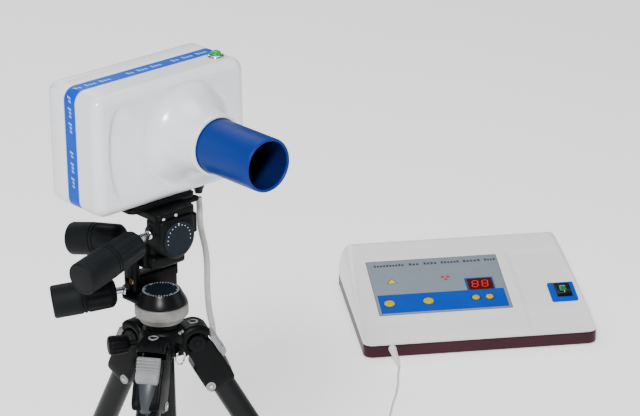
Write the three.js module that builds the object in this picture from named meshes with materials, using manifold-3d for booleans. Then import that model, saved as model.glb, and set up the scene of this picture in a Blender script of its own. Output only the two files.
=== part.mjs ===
// Portable intraoral x-ray unit: x-ray head on a three-way head and tripod, with a
// floor-standing control console, its head cable and its hand switch.
// Millimetres, +Z up. X runs along the x-ray head, the aiming cone points to -Y.
import * as THREE from 'three';
import { mergeVertices } from 'three/addons/utils/BufferGeometryUtils.js';
import Module from 'manifold-3d';

const wasm = await Module();
wasm.setup();

// ---------------------------------------------------------------- dimensions
const GAP = 0.3;
const RING_TOP = 460;                       // top of the head's grey base ring
const HEAD = { x0: -80.1, x1: 129.7, y1: 90.8, z0: 574.5, z1: 714.5, corner: 10, edge: 12 };
const WALL = 3.2;
const SEAM = { y0: 34.9, y1: 56.5 };
const BEAM = { x: 44.3, z: 646.5, neck: 52.9, end: 137.3, r: 30, bore: 26 };
const BUTTON = { x: 107, y: 24.5, r: 6.2 };
const GLAND = { x: 77.8, y: 25.8 };
const LEGS = [-144.5, -24.5, 95.5];         // plan angles of the legs
const LEG = { r: 35.2, z: 411.6, tilt: 28.4, foot: 453.1 };
const DESK = { x: 736.5, y: 493.7, yaw: -33.84, w: 338.2, d: 287.6, base: 18.5, corner: 8 };
const SLOPE = { z: 21.07, k: 0.17 };        // console top: z = 21.07 + 0.17 y
const SHIFT = { x: -477.602, y: -284.29 };     // puts the footprint's centre on the Z axis

const DETAIL = 0.55;                        // share of the listed segments used round a turned part

// ---------------------------------------------------------------- helpers
const V = (x, y, z) => new THREE.Vector3(x, y, z);
const rad = THREE.MathUtils.degToRad;
const unit = (x, y, z) => V(x, y, z).normalize();

function toSolid(geometry) {
  const flat = geometry.index ? geometry.toNonIndexed() : geometry;
  const bare = new THREE.BufferGeometry();
  bare.setAttribute('position', flat.getAttribute('position').clone());
  const merged = mergeVertices(bare, 1e-4);
  const p = merged.getAttribute('position').array;
  const tris = [];
  let volume = 0;
  for (let i = 0; i < merged.index.count; i += 3) {
    const [a, b, c] = [0, 1, 2].map((k) => merged.index.getX(i + k));
    if (a === b || b === c || a === c) continue;
    tris.push(a, b, c);
    const [A, B, C] = [a, b, c].map((k) => V(p[3 * k], p[3 * k + 1], p[3 * k + 2]));
    volume += A.dot(B.cross(C));
  }
  if (volume < 0) for (let i = 0; i < tris.length; i += 3) [tris[i], tris[i + 1]] = [tris[i + 1], tris[i]];
  return new wasm.Manifold(new wasm.Mesh({
    numProp: 3, vertProperties: new Float32Array(p), triVerts: new Uint32Array(tris),
  }));
}

function toGeometry(solid) {
  const m = solid.getMesh();
  const points = new Float32Array(m.numVert * 3);
  for (let i = 0; i < m.numVert; i++) {
    for (let k = 0; k < 3; k++) points[3 * i + k] = m.vertProperties[i * m.numProp + k];
  }
  const g = new THREE.BufferGeometry();
  g.setAttribute('position', new THREE.BufferAttribute(points, 3));
  g.setIndex(new THREE.BufferAttribute(new Uint32Array(m.triVerts), 1));
  g.computeVertexNormals();
  return g;
}

// A closed solid through a list of rings with equal point counts, ends closed by fans.
function loft(rings, closed = false) {
  const n = rings[0].length;
  const points = rings.flat().slice();
  const tris = [];
  const count = closed ? rings.length : rings.length - 1;
  for (let i = 0; i < count; i++) {
    const j = (i + 1) % rings.length;
    for (let k = 0; k < n; k++) {
      const a = i * n + k, b = i * n + ((k + 1) % n), c = j * n + k, d = j * n + ((k + 1) % n);
      tris.push(a, b, d, a, d, c);
    }
  }
  if (!closed) {
    [[0, -1], [rings.length - 1, 1]].forEach(([i, side]) => {
      const mid = rings[i].reduce((s, p) => s.add(p), V(0, 0, 0)).divideScalar(n);
      const m = points.push(mid) - 1;
      for (let k = 0; k < n; k++) {
        const a = i * n + k, b = i * n + ((k + 1) % n);
        if (side < 0) tris.push(m, b, a); else tris.push(m, a, b);
      }
    });
  }
  const g = new THREE.BufferGeometry();
  g.setAttribute('position',
    new THREE.BufferAttribute(new Float32Array(points.flatMap((p) => p.toArray())), 3));
  g.setIndex(tris);
  return toSolid(g);
}

// Solid of revolution: profile of [distance along the axis, radius] pairs.
function spin(origin, axis, profile, around = 32) {
  const seg = Math.max(10, Math.round(around * DETAIL));
  const side = Math.abs(axis.z) > 0.9 ? V(1, 0, 0) : V(0, 0, 1);
  const u = side.clone().cross(axis).normalize();
  const w = axis.clone().cross(u);
  return loft(profile.map(([d, r]) => Array.from({ length: seg }, (_, k) => {
    const t = (2 * Math.PI * k) / seg;
    return origin.clone().addScaledVector(axis, d).addScaledVector(u,
      r * Math.cos(t)).addScaledVector(w, r * Math.sin(t));
  })));
}

const box = (x0, x1, y0, y1, z0, z1) => toSolid(new THREE.BoxGeometry(x1 - x0, y1 - y0, z1 - z0)
  .translate((x0 + x1) / 2, (y0 + y1) / 2, (z0 + z1) / 2));

// Rounded rectangle outline as [a, b] pairs; extra points along the two b-direction sides.
function outline(a0, a1, b0, b1, r, seg = 6, along = 1) {
  const pts = [];
  const corners = [[a1 - r, b1 - r, 0], [a0 + r, b1 - r, 90], [a0 + r, b0 + r, 180], [a1 - r, b0 + r, 270]];
  corners.forEach(([ca, cb, start], c) => {
    for (let k = 0; k <= seg; k++) {
      const t = rad(start + (90 * k) / seg);
      pts.push([ca + r * Math.cos(t), cb + r * Math.sin(t)]);
    }
    const next = c === 1 ? [a0, b0 + r] : c === 3 ? [a1, b1 - r] : null;
    if (next) {
      const last = pts[pts.length - 1];
      for (let k = 1; k < along; k++) pts.push([next[0], last[1] + ((next[1] - last[1]) * k) / along]);
    }
  });
  return pts;
}

// Block with rounded corners and softened edges at both ends of Z.
function slab(x0, x1, y0, y1, z0, z1, corner, edge, seg = 2) {
  const e = Math.min(edge, corner - 0.2);
  const ring = (inset, z) => outline(x0 + inset, x1 - inset, y0 + inset, y1 - inset, corner - inset, seg)
    .map(([x, y]) => V(x, y, z));
  return loft([ring(e, z0), ring(0, z0 + e), ring(0, z1 - e), ring(e, z1)]);
}

const group = new THREE.Group();
const tripod = new THREE.Group();
const desk = new THREE.Group();
tripod.position.set(SHIFT.x, SHIFT.y, 0);
desk.position.set(DESK.x + SHIFT.x, DESK.y + SHIFT.y, 0);
desk.rotation.z = rad(DESK.yaw);
group.add(tripod, desk);

function add(parent, name, solid, color, roughness, metalness = 0) {
  const mesh = new THREE.Mesh(toGeometry(solid), new THREE.MeshStandardMaterial({ color, roughness,
    metalness }));
  mesh.name = name;
  parent.add(mesh);
  return mesh;
}
const COLOR = {
  white: 0xf1f1f2, blue: 0x1f4ea8, cone: 0x1f4590, black: 0x17181b, steel: 0xb9bcc0, grey: 0x8e8b84,
  latch: 0x8b8d90, tube: 0x1c1d20, maroon: 0x42121f, panel: 0xaeb2b6, yellow: 0xe6c52c,
};

// ---------------------------------------------------------------- x-ray head
// Rounded housing section swept along Y from y0 to y1; a rounded end has radius `edge`.
function housing(inset, y0, y1, roundFront, roundBack) {
  const edge = HEAD.edge - inset;
  const rings = [];
  const ring = (e, y) => outline(HEAD.x0 + inset + e, HEAD.x1 - inset - e, HEAD.z0 + inset + e,
    HEAD.z1 - inset - e, HEAD.corner - inset - e + 4, 4).map(([x, z]) => V(x, y, z));
  const steps = 4;
  if (roundFront) {
    for (let k = 0; k < steps; k++) {
      const t = rad((90 * k) / steps);
      rings.push(ring(edge * (1 - Math.sin(t)), y0 + edge * (1 - Math.cos(t))));
    }
    rings.push(ring(0, y0 + edge));
  } else rings.push(ring(0, y0));
  if (roundBack) {
    for (let k = 0; k <= steps; k++) {
      const t = rad((90 * k) / steps);
      rings.push(ring(edge * (1 - Math.cos(t)), y1 - edge * (1 - Math.sin(t))));
    }
  } else rings.push(ring(0, y1));
  return loft(rings);
}
const beamAt = V(BEAM.x, 0, BEAM.z);
const FORWARD = V(0, -1, 0);
const DOWN = V(0, 0, -1);
const UP = V(0, 0, 1);
const neck = spin(beamAt, FORWARD, [[-6, 52], [0, 50.5], [4, 47], [9, 43.5], [16, 40], [26, 37.2], [38,
  35.4],
  [49, 34.2], [51.6, 33.6], [52.9, 32.4]], 48);
const scoop = (grow) => toSolid(new THREE.SphereGeometry(1, 16, 9)
  .scale(26 + grow, 7 + grow, 57 + grow).translate(-40.5, 0, 650));
const frontCover = housing(0, 0, SEAM.y0, true, false).add(neck)
  .subtract(scoop(0))
  .subtract(housing(WALL, WALL, 60, true, false).subtract(scoop(2.6)))
  .subtract(spin(beamAt, FORWARD, [[-12, 26], [BEAM.neck - 17, 26]], 40))
  .subtract(spin(beamAt, FORWARD, [[BEAM.neck - 18, BEAM.r + GAP], [60, BEAM.r + GAP]], 48))
  .subtract(spin(V(BUTTON.x, BUTTON.y, 700), UP, [[0, 7.6], [20, 7.6]], 24))
  .subtract(spin(V(GLAND.x, GLAND.y, 570), UP, [[0, 5.3], [14, 5.3]], 20));
add(tripod, 'head_front_cover', frontCover, COLOR.white, 0.28);
add(tripod, 'head_rear_cover', housing(0, SEAM.y1, HEAD.y1, false, true)
  .subtract(housing(WALL, SEAM.y1 - 20, HEAD.y1 - WALL, false, true)), COLOR.white, 0.28);
add(tripod, 'seam_band', housing(0, SEAM.y0 + GAP, SEAM.y1 - GAP, false, false)
  .subtract(housing(WALL, 20, 70, false, false)), COLOR.blue, 0.45);

const coneStart = BEAM.neck - 18 + GAP;
const cone = spin(beamAt, FORWARD, [[coneStart, BEAM.r], [BEAM.end - 1.6, BEAM.r], [BEAM.end - 0.5,
  BEAM.r - 0.5],
  [BEAM.end, BEAM.r - 1.6], [BEAM.end, BEAM.bore + 0.6]], 48)
  .subtract(spin(beamAt, FORWARD, [[coneStart - 5, BEAM.bore], [BEAM.end - 3, BEAM.bore],
    [BEAM.end + 1, BEAM.bore + 0.6]], 48));
add(tripod, 'aiming_cone', cone, COLOR.cone, 0.42);
add(tripod, 'collimator_disc', spin(beamAt, FORWARD, [[coneStart + 1, 25.6], [coneStart + 5, 25.6]], 40)
  .subtract(spin(beamAt, FORWARD, [[coneStart - 2, 9], [coneStart + 8, 9]], 24)), 0x6d7074, 0.6, 0.7);
add(tripod, 'xray_tube', spin(V(8, 47, BEAM.z), V(1, 0, 0), [[0, 7], [4, 9], [8, 14], [16, 19], [58,
  19], [66, 13],
  [70, 8], [84, 7]], 24), 0xb9c4c6, 0.1);
add(tripod, 'high_voltage_tank', slab(-66, 0, 22, 80, 594, 690, 6, 1.5), 0x9a9da1, 0.5, 0.6);
add(tripod, 'button_bezel', spin(V(BUTTON.x, BUTTON.y, HEAD.z1), UP, [[-6, 7.2], [0.3, 7.2], [0.4,
  9.2], [2, 9.2],
  [3, 8.2]], 28).subtract(spin(V(BUTTON.x, BUTTON.y, HEAD.z1), UP, [[-8, BUTTON.r + GAP], [5,
    BUTTON.r + GAP]], 28)),
COLOR.steel, 0.15, 1);
add(tripod, 'ready_button', spin(V(BUTTON.x, BUTTON.y, HEAD.z1), UP, [[-9, 5], [-5, 5], [-5, BUTTON.r],
  [4, BUTTON.r],
  [5.6, 5.4], [6.8, 3.6], [7.3, 1.6], [7.4, 0.4]], 24), 0x1aa84c, 0.25);
add(tripod, 'head_cable_gland', spin(V(GLAND.x, GLAND.y, HEAD.z0), DOWN, [[-5.5, 5], [0.3, 5], [0.3,
  8], [5, 8], [6, 6.6],
  [12, 5.4], [13, 4.8]], 20), COLOR.black, 0.6);

// ---------------------------------------------------------------- three-way head
const zr = (z) => RING_TOP + z;
const BARREL = { x: 11.9, z: zr(78.3), r: 24, y0: -20, y1: 6 };
const PIN = { y: 31, z: zr(50) };
add(tripod, 'camera_plate', slab(-33, 58, 4, 64, zr(109.2), zr(114.2), 7, 1.2), COLOR.black, 0.6);
const barrelAt = V(BARREL.x, 0, BARREL.z);
const BACK = V(0, 1, 0);
const LEVER = { x: 47, y: 12 };
const holder = slab(-12, 41, -16, 40, zr(99.5), zr(108.9), 6, 1.5)
  .add(slab(32, 54, 3, 21, zr(94), zr(100.6), 4, 1))
  .add(slab(-12, 36, BARREL.y0 + 2, BARREL.y1, zr(80), zr(102), 4, 1))
  .add(spin(barrelAt, BACK, [[BARREL.y0, BARREL.r - 3], [BARREL.y0 + 3, BARREL.r], [BARREL.y1,
    BARREL.r]], 40))
  .subtract(spin(barrelAt, BACK, [[BARREL.y0 + 5, 15.3], [BARREL.y1 + 8, 15.3]], 32))
  .subtract(spin(V(-30, -0.6, zr(85.6)), V(1, 0, 0), [[-1, 6.4], [25.5, 6.4]], 20))
  .subtract(spin(V(LEVER.x, LEVER.y, zr(92)), UP, [[0, 4.7], [20, 4.7]], 18));
add(tripod, 'plate_holder', holder, COLOR.black, 0.55);
add(tripod, 'release_lever', slab(LEVER.x - 4, LEVER.x + 18, 6.5, 17.5, zr(101.2), zr(106.2), 4.5, 1)
  .add(spin(V(LEVER.x, LEVER.y, zr(93)), UP, [[0, 4.2], [15.6, 4.2]], 18)), COLOR.black, 0.5);
const tiltBody = spin(barrelAt, BACK, [[BARREL.y0 + 6, 14], [BARREL.y0 + 7, 15], [BARREL.y1 + GAP, 15],
  [BARREL.y1 + GAP, 16], [14, 16], [16, 14]], 32)
  .add(slab(-4, 28, BARREL.y1 + 0.6, 20.6, zr(44), zr(78), 5, 2))
  .add(slab(-9, 37.4, 14, 46, zr(36), zr(66), 5, 2))
  .add(slab(-9, 37.4, 0, 15, zr(40), zr(53.6), 4, 2))
  .subtract(spin(V(-20, PIN.y, PIN.z), V(1, 0, 0), [[0, 6.35], [70, 6.35]], 20));
add(tripod, 'tilt_body', tiltBody, COLOR.black, 0.55);
const tower = slab(-20, 42, 20.8, 43, zr(1), zr(61.4), 5, 2)
  .add(spin(V(0, 0, zr(GAP)), UP, [[0, 27], [3, 29], [7, 28], [11, 24.5], [13.5, 20.5], [15.6, 19.5]], 40))
  .add(slab(-16, 20, 0, 36, zr(GAP), zr(11), 5, 1))
  .add(slab(-27, 0, 2, 40, zr(GAP), zr(8), 5, 2))
  .subtract(box(-9.5, 38, 13, 50, zr(27.2), zr(75)))
  .add(spin(V(-12, PIN.y, PIN.z), V(1, 0, 0), [[0, 6], [52, 6]], 20));
add(tripod, 'pan_tower', tower, COLOR.black, 0.5);
add(tripod, 'base_ring', spin(V(0, 0, zr(-20)), UP, [[0, 25], [5, 28.4], [8, 30], [19, 30], [20, 29]], 48),
  COLOR.grey, 0.45, 0.6);

function handle(name, at, axis, rod, length, rSmall, rBig) {
  const dir = axis.clone().normalize();
  add(tripod, name, spin(at, dir, [[0, 4], [rod, 4], [rod, rSmall - 5], [rod + 6, rSmall], [rod + 14,
    rSmall + 0.4],
    [length - 12, rBig], [length - 4, rBig], [length - 1, rBig - 2], [length, rBig - 5]], 24),
      COLOR.black, 0.6);
}
handle('side_tilt_handle', V(-9, -0.6, zr(85.5)), V(-0.974, -0.165, -0.154), 24, 115.8, 16.8, 18.5);
handle('front_tilt_handle', V(-1, 47.5, zr(61.5)), V(-0.366, 0.917, -0.156), 10, 79, 16.8, 18.5);
handle('pan_handle', V(-24, 31, zr(13)), V(-0.826, 0.551, -0.12), 11, 83.2, 17.5, 18.5);

// ---------------------------------------------------------------- tripod
const legDir = (a) => V(Math.cos(rad(a)) * Math.sin(rad(LEG.tilt)),
  Math.sin(rad(a)) * Math.sin(rad(LEG.tilt)),
  -Math.cos(rad(LEG.tilt)));
const radial = (a) => V(Math.cos(rad(a)), Math.sin(rad(a)), 0);
const tangent = (a) => V(-Math.sin(rad(a)), Math.cos(rad(a)), 0);
const hingeAt = (a) => radial(a).multiplyScalar(LEG.r).setZ(LEG.z);

// Rounded bar along `axis` from s0 to s1: `side` half-width w, `out` from n0 to n1.
function bar(origin, axis, side, out, s0, s1, w, n0, n1, r = 3, taper = 1) {
  const ring = (s, k) => outline(-w * k, w * k, n0 * (n0 < 0 ? k : 1), n1 * k, r * k, 2)
    .map(([a, b]) => origin.clone().addScaledVector(axis, s).addScaledVector(side,
      a).addScaledVector(out, b));
  return loft([ring(s0, 1), ring(s1, taper)]);
}

add(tripod, 'center_column', spin(V(0, 0, 170), UP, [[0, 10.5], [1.5, 12], [zr(-25) - 170, 12],
  [zr(-25) - 170, 19],
  [zr(-20.3) - 170, 19]], 32), COLOR.tube, 0.35, 0.5);
const DOME = 21;                           // radius of each leg's rounded head
let shoulder = spin(V(0, 0, zr(-60)), UP, [[0, 21], [4, 25], [22, 26], [30, 22], [32, 20]], 36);
LEGS.forEach((a) => {
  shoulder = shoulder.subtract(spin(hingeAt(a).addScaledVector(tangent(a), -17), tangent(a), [[0,
    DOME + 0.5],
    [34, DOME + 0.5]], 30));
});
LEGS.forEach((a) => {
  shoulder = shoulder.add(spin(hingeAt(a).addScaledVector(tangent(a), -4.7), tangent(a), [[0, 10.2],
    [9.4, 10.2]], 24))
    .add(bar(V(0, 0, LEG.z), radial(a), tangent(a), UP, 12.6, LEG.r, 4.7, -8, 8, 1));
});
const HOOK = { a: -89.4, r: 30, z: zr(-50) };
const KNOB = { a: 153, z: zr(-45.4) };
shoulder = shoulder.add(bar(V(0, 0, HOOK.z), radial(HOOK.a), tangent(HOOK.a), UP, 18, HOOK.r + 4, 2.5,
  -5, 10, 1))
  .subtract(spin(V(0, 0, HOOK.z).addScaledVector(radial(HOOK.a),
    HOOK.r).addScaledVector(tangent(HOOK.a), -8),
    tangent(HOOK.a), [[0, 2.5], [16, 2.5]], 16))
  .subtract(spin(V(0, 0, zr(-70)), UP, [[0, 12 + GAP], [60, 12 + GAP]], 32))
  .subtract(spin(V(0, 0, KNOB.z), radial(KNOB.a), [[0, 4.4], [40, 4.4]], 16));
add(tripod, 'shoulder', shoulder, COLOR.black, 0.5, 0.2);
add(tripod, 'column_knob', spin(V(0, 0, KNOB.z), radial(KNOB.a), [[12.8, 4], [38, 4], [38, 8], [41,
  10.5], [58, 11.5],
  [61, 10.5], [62, 8]], 20), COLOR.black, 0.55);
const hook = new THREE.TorusGeometry(1, 0.15, 6, 16);
{
  const p = hook.getAttribute('position');
  for (let i = 0; i < p.count; i++) {
    const t = Math.atan2(p.getY(i), p.getX(i));
    const radius = Math.hypot(p.getX(i), p.getY(i)) - 1;
    const w = V(0, 0, HOOK.z - 7.8).addScaledVector(radial(HOOK.a), HOOK.r + p.getZ(i) * 7.6)
      .addScaledVector(tangent(HOOK.a), Math.cos(t) * (6.2 + radius * 7.6))
      .addScaledVector(UP, Math.sin(t) * (7.8 + radius * 7.6));
    p.setXYZ(i, w.x, w.y, w.z);
  }
}
add(tripod, 'hook_ring', toSolid(hook), COLOR.steel, 0.3, 1);

LEGS.forEach((a, i) => {
  const h = hingeAt(a), d = legDir(a), t = tangent(a);
  const out = t.clone().cross(d).multiplyScalar(-1);
  if (out.dot(radial(a)) < 0) out.multiplyScalar(-1);
  const n = i + 1;
  const casting = spin(h.clone().addScaledVector(t, -16.5), t, [[0, DOME - 2], [2, DOME], [31, DOME],
    [33, DOME - 2]], 28)
    .add(bar(h, d, t, out, 6, 24, 16.5, -15.2, 14, 4))
    .add(bar(h, d, t, out, 23, 56, 16.5, -19.5, 16.2, 5))
    .add(bar(h, d, t, out, 55.9, 63, 16.5, -19.5, 16.2, 5, 0.9))
    .subtract(bar(h, d, t, out, -26, 13, 5.1, -26, 6, 0.1))
    .subtract(spin(h.clone().addScaledVector(t, -5.1), t, [[0, 11.1], [10.2, 11.1]], 24))
    .subtract(spin(h, d, [[24, 13.9], [110, 13.9]], 28))
    .subtract(bar(h, d, t, out, 3.4, 34.6, 13.4, 15.2, 40, 0.1));
  add(tripod, `leg_casting_${n}`, casting, COLOR.black, 0.5, 0.2);
  let latch = bar(h, d, t, out, 4, 34, 13, 15.5, 22, 2.5);
  [6.5, 11, 15.5].forEach((s) => { latch = latch.add(bar(h, d, t, out, s, s + 2.4, 12, 20.5, 23.6,
    0.8)); });
  add(tripod, `leg_latch_${n}`, latch, COLOR.latch, 0.5);
  add(tripod, `upper_tube_${n}`, spin(h, d, [[25, 13.5], [318, 13.5], [318, 16.5], [340, 16.5], [343,
    15]], 28)
    .subtract(spin(h, d, [[30, 10.4], [350, 10.4]], 28)), COLOR.tube, 0.35, 0.4);
  add(tripod, `lower_tube_${n}`, spin(h, d, [[60, 8.5], [62, 10], [436, 10]], 24), 0x2a2b2e, 0.35, 0.5);
  const ball = [];
  for (let k = 0; k <= 5; k++) {
    const q = rad((90 * k) / 5);
    ball.push([LEG.foot + 13 * Math.sin(q), Math.max(13 * Math.cos(q), 0.4)]);
  }
  add(tripod, `rubber_foot_${n}`, spin(h, d, [[436 + GAP, 11], [440, 12.4], ...ball], 24), 0x151515, 0.85);
});

// ---------------------------------------------------------------- console
const smin = (a, b, k) => Math.min(a, b) - (Math.max(k - Math.abs(a - b), 0) ** 2) / (4 * k);
const topZ = (y) => SLOPE.z + SLOPE.k * y - 2 * (Math.max(38 - y, 0) / 38) ** 2;
function coverBody(inset, z0, lip, drop) {
  const insets = [0, 0.8, 1.6, 3, 5, 8, 11.5, 15.5, 20, 25];
  const wall = (d) => {
    const t = Math.min(Math.max(d - 0.8, 0) / 20, 1);
    return 10 * Math.min(d / 0.8, 1) + 8 * Math.min(d / 6,
      1) + 40 * Math.sqrt(1 - (1 - t) ** 2) * (0.35 + 0.65 * t);
  };
  const ring = (d, f) => outline(inset + d, DESK.w - inset - d, inset + d, DESK.d - inset - d,
    Math.max(DESK.corner + 6 - inset - d, 3), 4, 4).map(([x, y]) => V(x, y, f(y)));
  return loft([ring(0, () => z0),
    ...insets.map((d) => ring(d, (y) => Math.max(smin(z0 + lip + wall(d), topZ(y) - drop, 14),
      z0 + 0.4)))]);
}
// Slab lying in the sloping top: x, distance up the slope, height above the slope.
const tilt = Math.atan(SLOPE.k);
const onSlope = (solid) => solid.rotate([THREE.MathUtils.radToDeg(tilt), 0, 0]).translate([0, 0, SLOPE.z]);
const up = (y) => y / Math.cos(tilt);
const PANEL = { x0: 32.5, x1: 228.8, t0: up(71.2), t1: up(216.7) };
const WINDOW = { x0: 173.2, x1: 210, t0: up(124), t1: up(153.6) };
const KEYS = [[51.9, 101, 7.6], [109.3, 101.6, 7.6], [179.3, 103, 5.6], [199.5, 103, 5.6]];
const ROCK = { x0: 299.4, x1: 318.6, t0: up(91.5), t1: up(123) };
const FRAME = { x0: 288.5, x1: 327, t0: up(80.5), t1: up(128.5) };
const REAR = { x0: 112, x1: 212, y0: 262, z0: 23, z1: 57 };
const coverOuter = coverBody(0, DESK.base + GAP, 3.2, 0);
let cover = coverOuter.subtract(coverBody(3.2, DESK.base - 4, 1, 3.4))
  .subtract(onSlope(slab(PANEL.x0 - GAP, PANEL.x1 + GAP, PANEL.t0 - GAP, PANEL.t1 + GAP, -1.2, 8, 3, 0.1)))
  .subtract(onSlope(slab(WINDOW.x0 + 1, WINDOW.x1 - 1, WINDOW.t0 + 1, WINDOW.t1 - 1, -12, 8, 2, 0.1)))
  .subtract(onSlope(slab(ROCK.x0 - 1.2, ROCK.x1 + 1.2, ROCK.t0 - 1.2, ROCK.t1 + 1.2, -14, 8, 2, 0.1)))
  .subtract(box(REAR.x0 - GAP, REAR.x1 + GAP, REAR.y0 - GAP, 300, REAR.z0 - GAP, REAR.z1 + GAP));
let panel = slab(PANEL.x0, PANEL.x1, PANEL.t0, PANEL.t1, -0.9, 0.3, 3, 0.2)
  .subtract(slab(WINDOW.x0 - GAP, WINDOW.x1 + GAP, WINDOW.t0 - GAP, WINDOW.t1 + GAP, -4, 4, 2, 0.1));
KEYS.forEach(([x, y, r]) => {
  const hole = spin(V(x, up(y), -14), UP, [[0, r + GAP], [24, r + GAP]], 28);
  panel = panel.subtract(hole);
  cover = cover.subtract(onSlope(hole));
});
add(desk, 'console_base', slab(0, DESK.w, 0, DESK.d, 0, DESK.base, DESK.corner + 6, 1.2, 6)
  .subtract(slab(3, DESK.w - 3, 3, DESK.d - 3, 3, 40, DESK.corner + 3, 0.5, 6))
  .subtract(spin(V(40.7, -5, 13.2), BACK, [[0, 4.7], [14, 4.7]], 20)), COLOR.maroon, 0.35);
add(desk, 'console_cover', cover, COLOR.white, 0.3);
add(desk, 'control_panel', onSlope(panel), COLOR.panel, 0.45);
add(desk, 'display_window', onSlope(slab(WINDOW.x0, WINDOW.x1, WINDOW.t0, WINDOW.t1, -0.8, 1.1, 1.5,
  0.3)), 0x3a0508, 0.15);
add(desk, 'switch_bezel', onSlope(slab(FRAME.x0, FRAME.x1, FRAME.t0, FRAME.t1, 0.25, 1.6, 3, 0.4)
  .subtract(slab(ROCK.x0 - 0.8, ROCK.x1 + 0.8, ROCK.t0 - 0.8, ROCK.t1 + 0.8, -4, 6, 1.5, 0.1))),
    COLOR.blue, 0.4);
const rockMid = (ROCK.t0 + ROCK.t1) / 2;
const rocker = slab(ROCK.x0, ROCK.x1, -14.6, 14.6, -9, 3.4, 1.5, 0.4)
  .subtract(spin(V(ROCK.x0 - 2, 0, 30), V(1, 0, 0), [[0, 27.6], [26, 27.6]], 48));
add(desk, 'power_rocker', onSlope(rocker.rotate([-7, 0, 0]).translate([0, rockMid, 0.4])), 0x101113, 0.3);
KEYS.forEach(([x, y, r], i) => add(desk, `key_${i + 1}`, onSlope(spin(V(x, up(y), 0), UP,
  [[-6, r], [1.4, r], [2.1, r - 0.8], [2.4, r - 2.2]], 28)), COLOR.yellow, 0.4));
add(desk, 'console_board', box(36, 224, 78, 214, 12, 13.6), 0x1d5b36, 0.6);
add(desk, 'cord_relief', spin(V(40.7, 2.6, 13.2), BACK.clone().multiplyScalar(-1), [[-6, 3.8], [5.4,
  3.8]], 16)
  .add(spin(V(40.7, -1.9, 13.2), unit(0.087, -0.97, -0.24), [[0, 5.4], [4, 5.4], [36, 2.9]], 16)),
    0xe8e8e6, 0.55);
const socketTray = box(REAR.x0, REAR.x1, REAR.y0, 295, REAR.z0, REAR.z1)
  .subtract(box(REAR.x0 + 2.4, REAR.x1 - 2.4, REAR.y0 + 3, 296, REAR.z0 + 2.4, REAR.z1 - 2.4))
  .add(box(120, 148, REAR.y0 + 1, REAR.y0 + 9, 29, 51).subtract(box(123, 145, REAR.y0 - 2,
    REAR.y0 + 12, 32, 48)))
  .subtract(box(123, 145, REAR.y0 - 1, REAR.y0 + 9, 32, 48))
  .add(spin(V(178, REAR.y0 + 1, 40), BACK, [[0, 10.5], [8, 10.5]], 28))
  .subtract(spin(V(178, REAR.y0 - 1, 40), BACK, [[0, 7.5], [12, 7.5]], 28));
add(desk, 'rear_socket_plate', socketTray.intersect(coverOuter), 0x2a2b2d, 0.6);

// ---------------------------------------------------------------- cords
// Constant-section tube through points, in steps of about `step`.
function cord(points, r, step, sides) {
  const curve = new THREE.CatmullRomCurve3(points, false, 'centripetal');
  const shape = new THREE.Shape(Array.from({ length: sides }, (_, k) => new THREE.Vector2(
    r * Math.cos((2 * Math.PI * k) / sides), r * Math.sin((2 * Math.PI * k) / sides))));
  return toSolid(new THREE.ExtrudeGeometry(shape,
    { steps: Math.round(curve.getLength() / step), bevelEnabled: false, extrudePath: curve }));
}
const ring = (x, y, mid, rx, rz, seg) => toSolid(new THREE.LatheGeometry(
  Array.from({ length: 11 }, (_, k) => new THREE.Vector2(mid + rx * Math.cos((2 * Math.PI * k) / 10),
    rz * Math.sin((2 * Math.PI * k) / 10))), seg).rotateX(Math.PI / 2).translate(x, y, rz));
const HEAD_CABLE = [
  [77.8, 25.8, 559], [78.1, 25.6, 545], [78.2, 25.4, 523], [79.9, 24.1, 509], [81.9, 22.3, 494],
  [82.9, 21.6, 475], [82.5, 21.8, 453], [82.8, 21.6, 431], [83.8, 20.8, 416], [85.6, 19.3, 401],
  [90.4, 15.3, 348], [108, -8, 292], [126, -14, 225], [150, -14, 150], [172, -2, 75], [196, 20, 23],
  [216, 37, 5.4], [238.5, 45.3, 3.9]];
const HAND_CORD = [[751.5, 436.9, 3.6], [744, 429.4, 2.2], [733.8, 419.9, 1.8], [715.5, 400, 1.8],
  [690.7, 376.2, 1.8],
  [662.5, 352.7, 1.8], [633.5, 327.3, 1.8], [606, 308, 1.8], [585, 294, 1.8], [567, 278, 1.8], [554.5,
    265, 1.8]];
const points = (list) => list.map(([x, y, z]) => V(x, y, z));
add(tripod, 'head_cable', cord(points(HEAD_CABLE), 3.5, 14, 10), 0x9b9c9c, 0.6);
add(tripod, 'head_cable_coil', ring(266, 92, 38.5, 10.7, 6.8, 28), 0x9b9c9c, 0.6);
add(tripod, 'cable_connector', spin(V(319, 70, 8.5), unit(0.866, 0.5, 0), [[0, 4.6], [12, 6], [12,
  8.3], [40, 8.3],
  [40, 6.6], [50, 6.6]], 20), 0x3a3b3d, 0.5);
add(tripod, 'hand_cord', cord(points(HAND_CORD), 1.7, 8, 8), 0xe9e9e7, 0.55);
add(tripod, 'hand_cord_coil', ring(560, 232, 20, 8.7, 6.4, 22), 0xe9e9e7, 0.55);
const switchAt = V(508, 205, 13.2);
const switchDir = unit(-0.72, -0.69, 0);
add(tripod, 'hand_switch', spin(switchAt, switchDir, [[-12, 3], [-2, 5], [0, 9], [4, 11.6], [20, 13],
  [70, 13],
  [84, 11.4], [88, 9.5]], 24).subtract(spin(switchAt, switchDir, [[71.6, 6.4], [100, 6.4]], 20)),
    0xe4e4e2, 0.4);
add(tripod, 'hand_switch_button', spin(switchAt, switchDir, [[76, 6], [92, 6], [94.5, 4.6], [95.4,
  2.6]], 20),
  0x2a6fd0, 0.35);

export default group;
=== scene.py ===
"""Intraoral x-ray unit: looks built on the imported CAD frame. Metres, row frame, +Z up."""
from math import atan, atan2, cos, dist, exp, hypot, pi, radians, sin, sqrt

import bmesh
import bpy
from mathutils import Matrix, Vector


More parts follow.
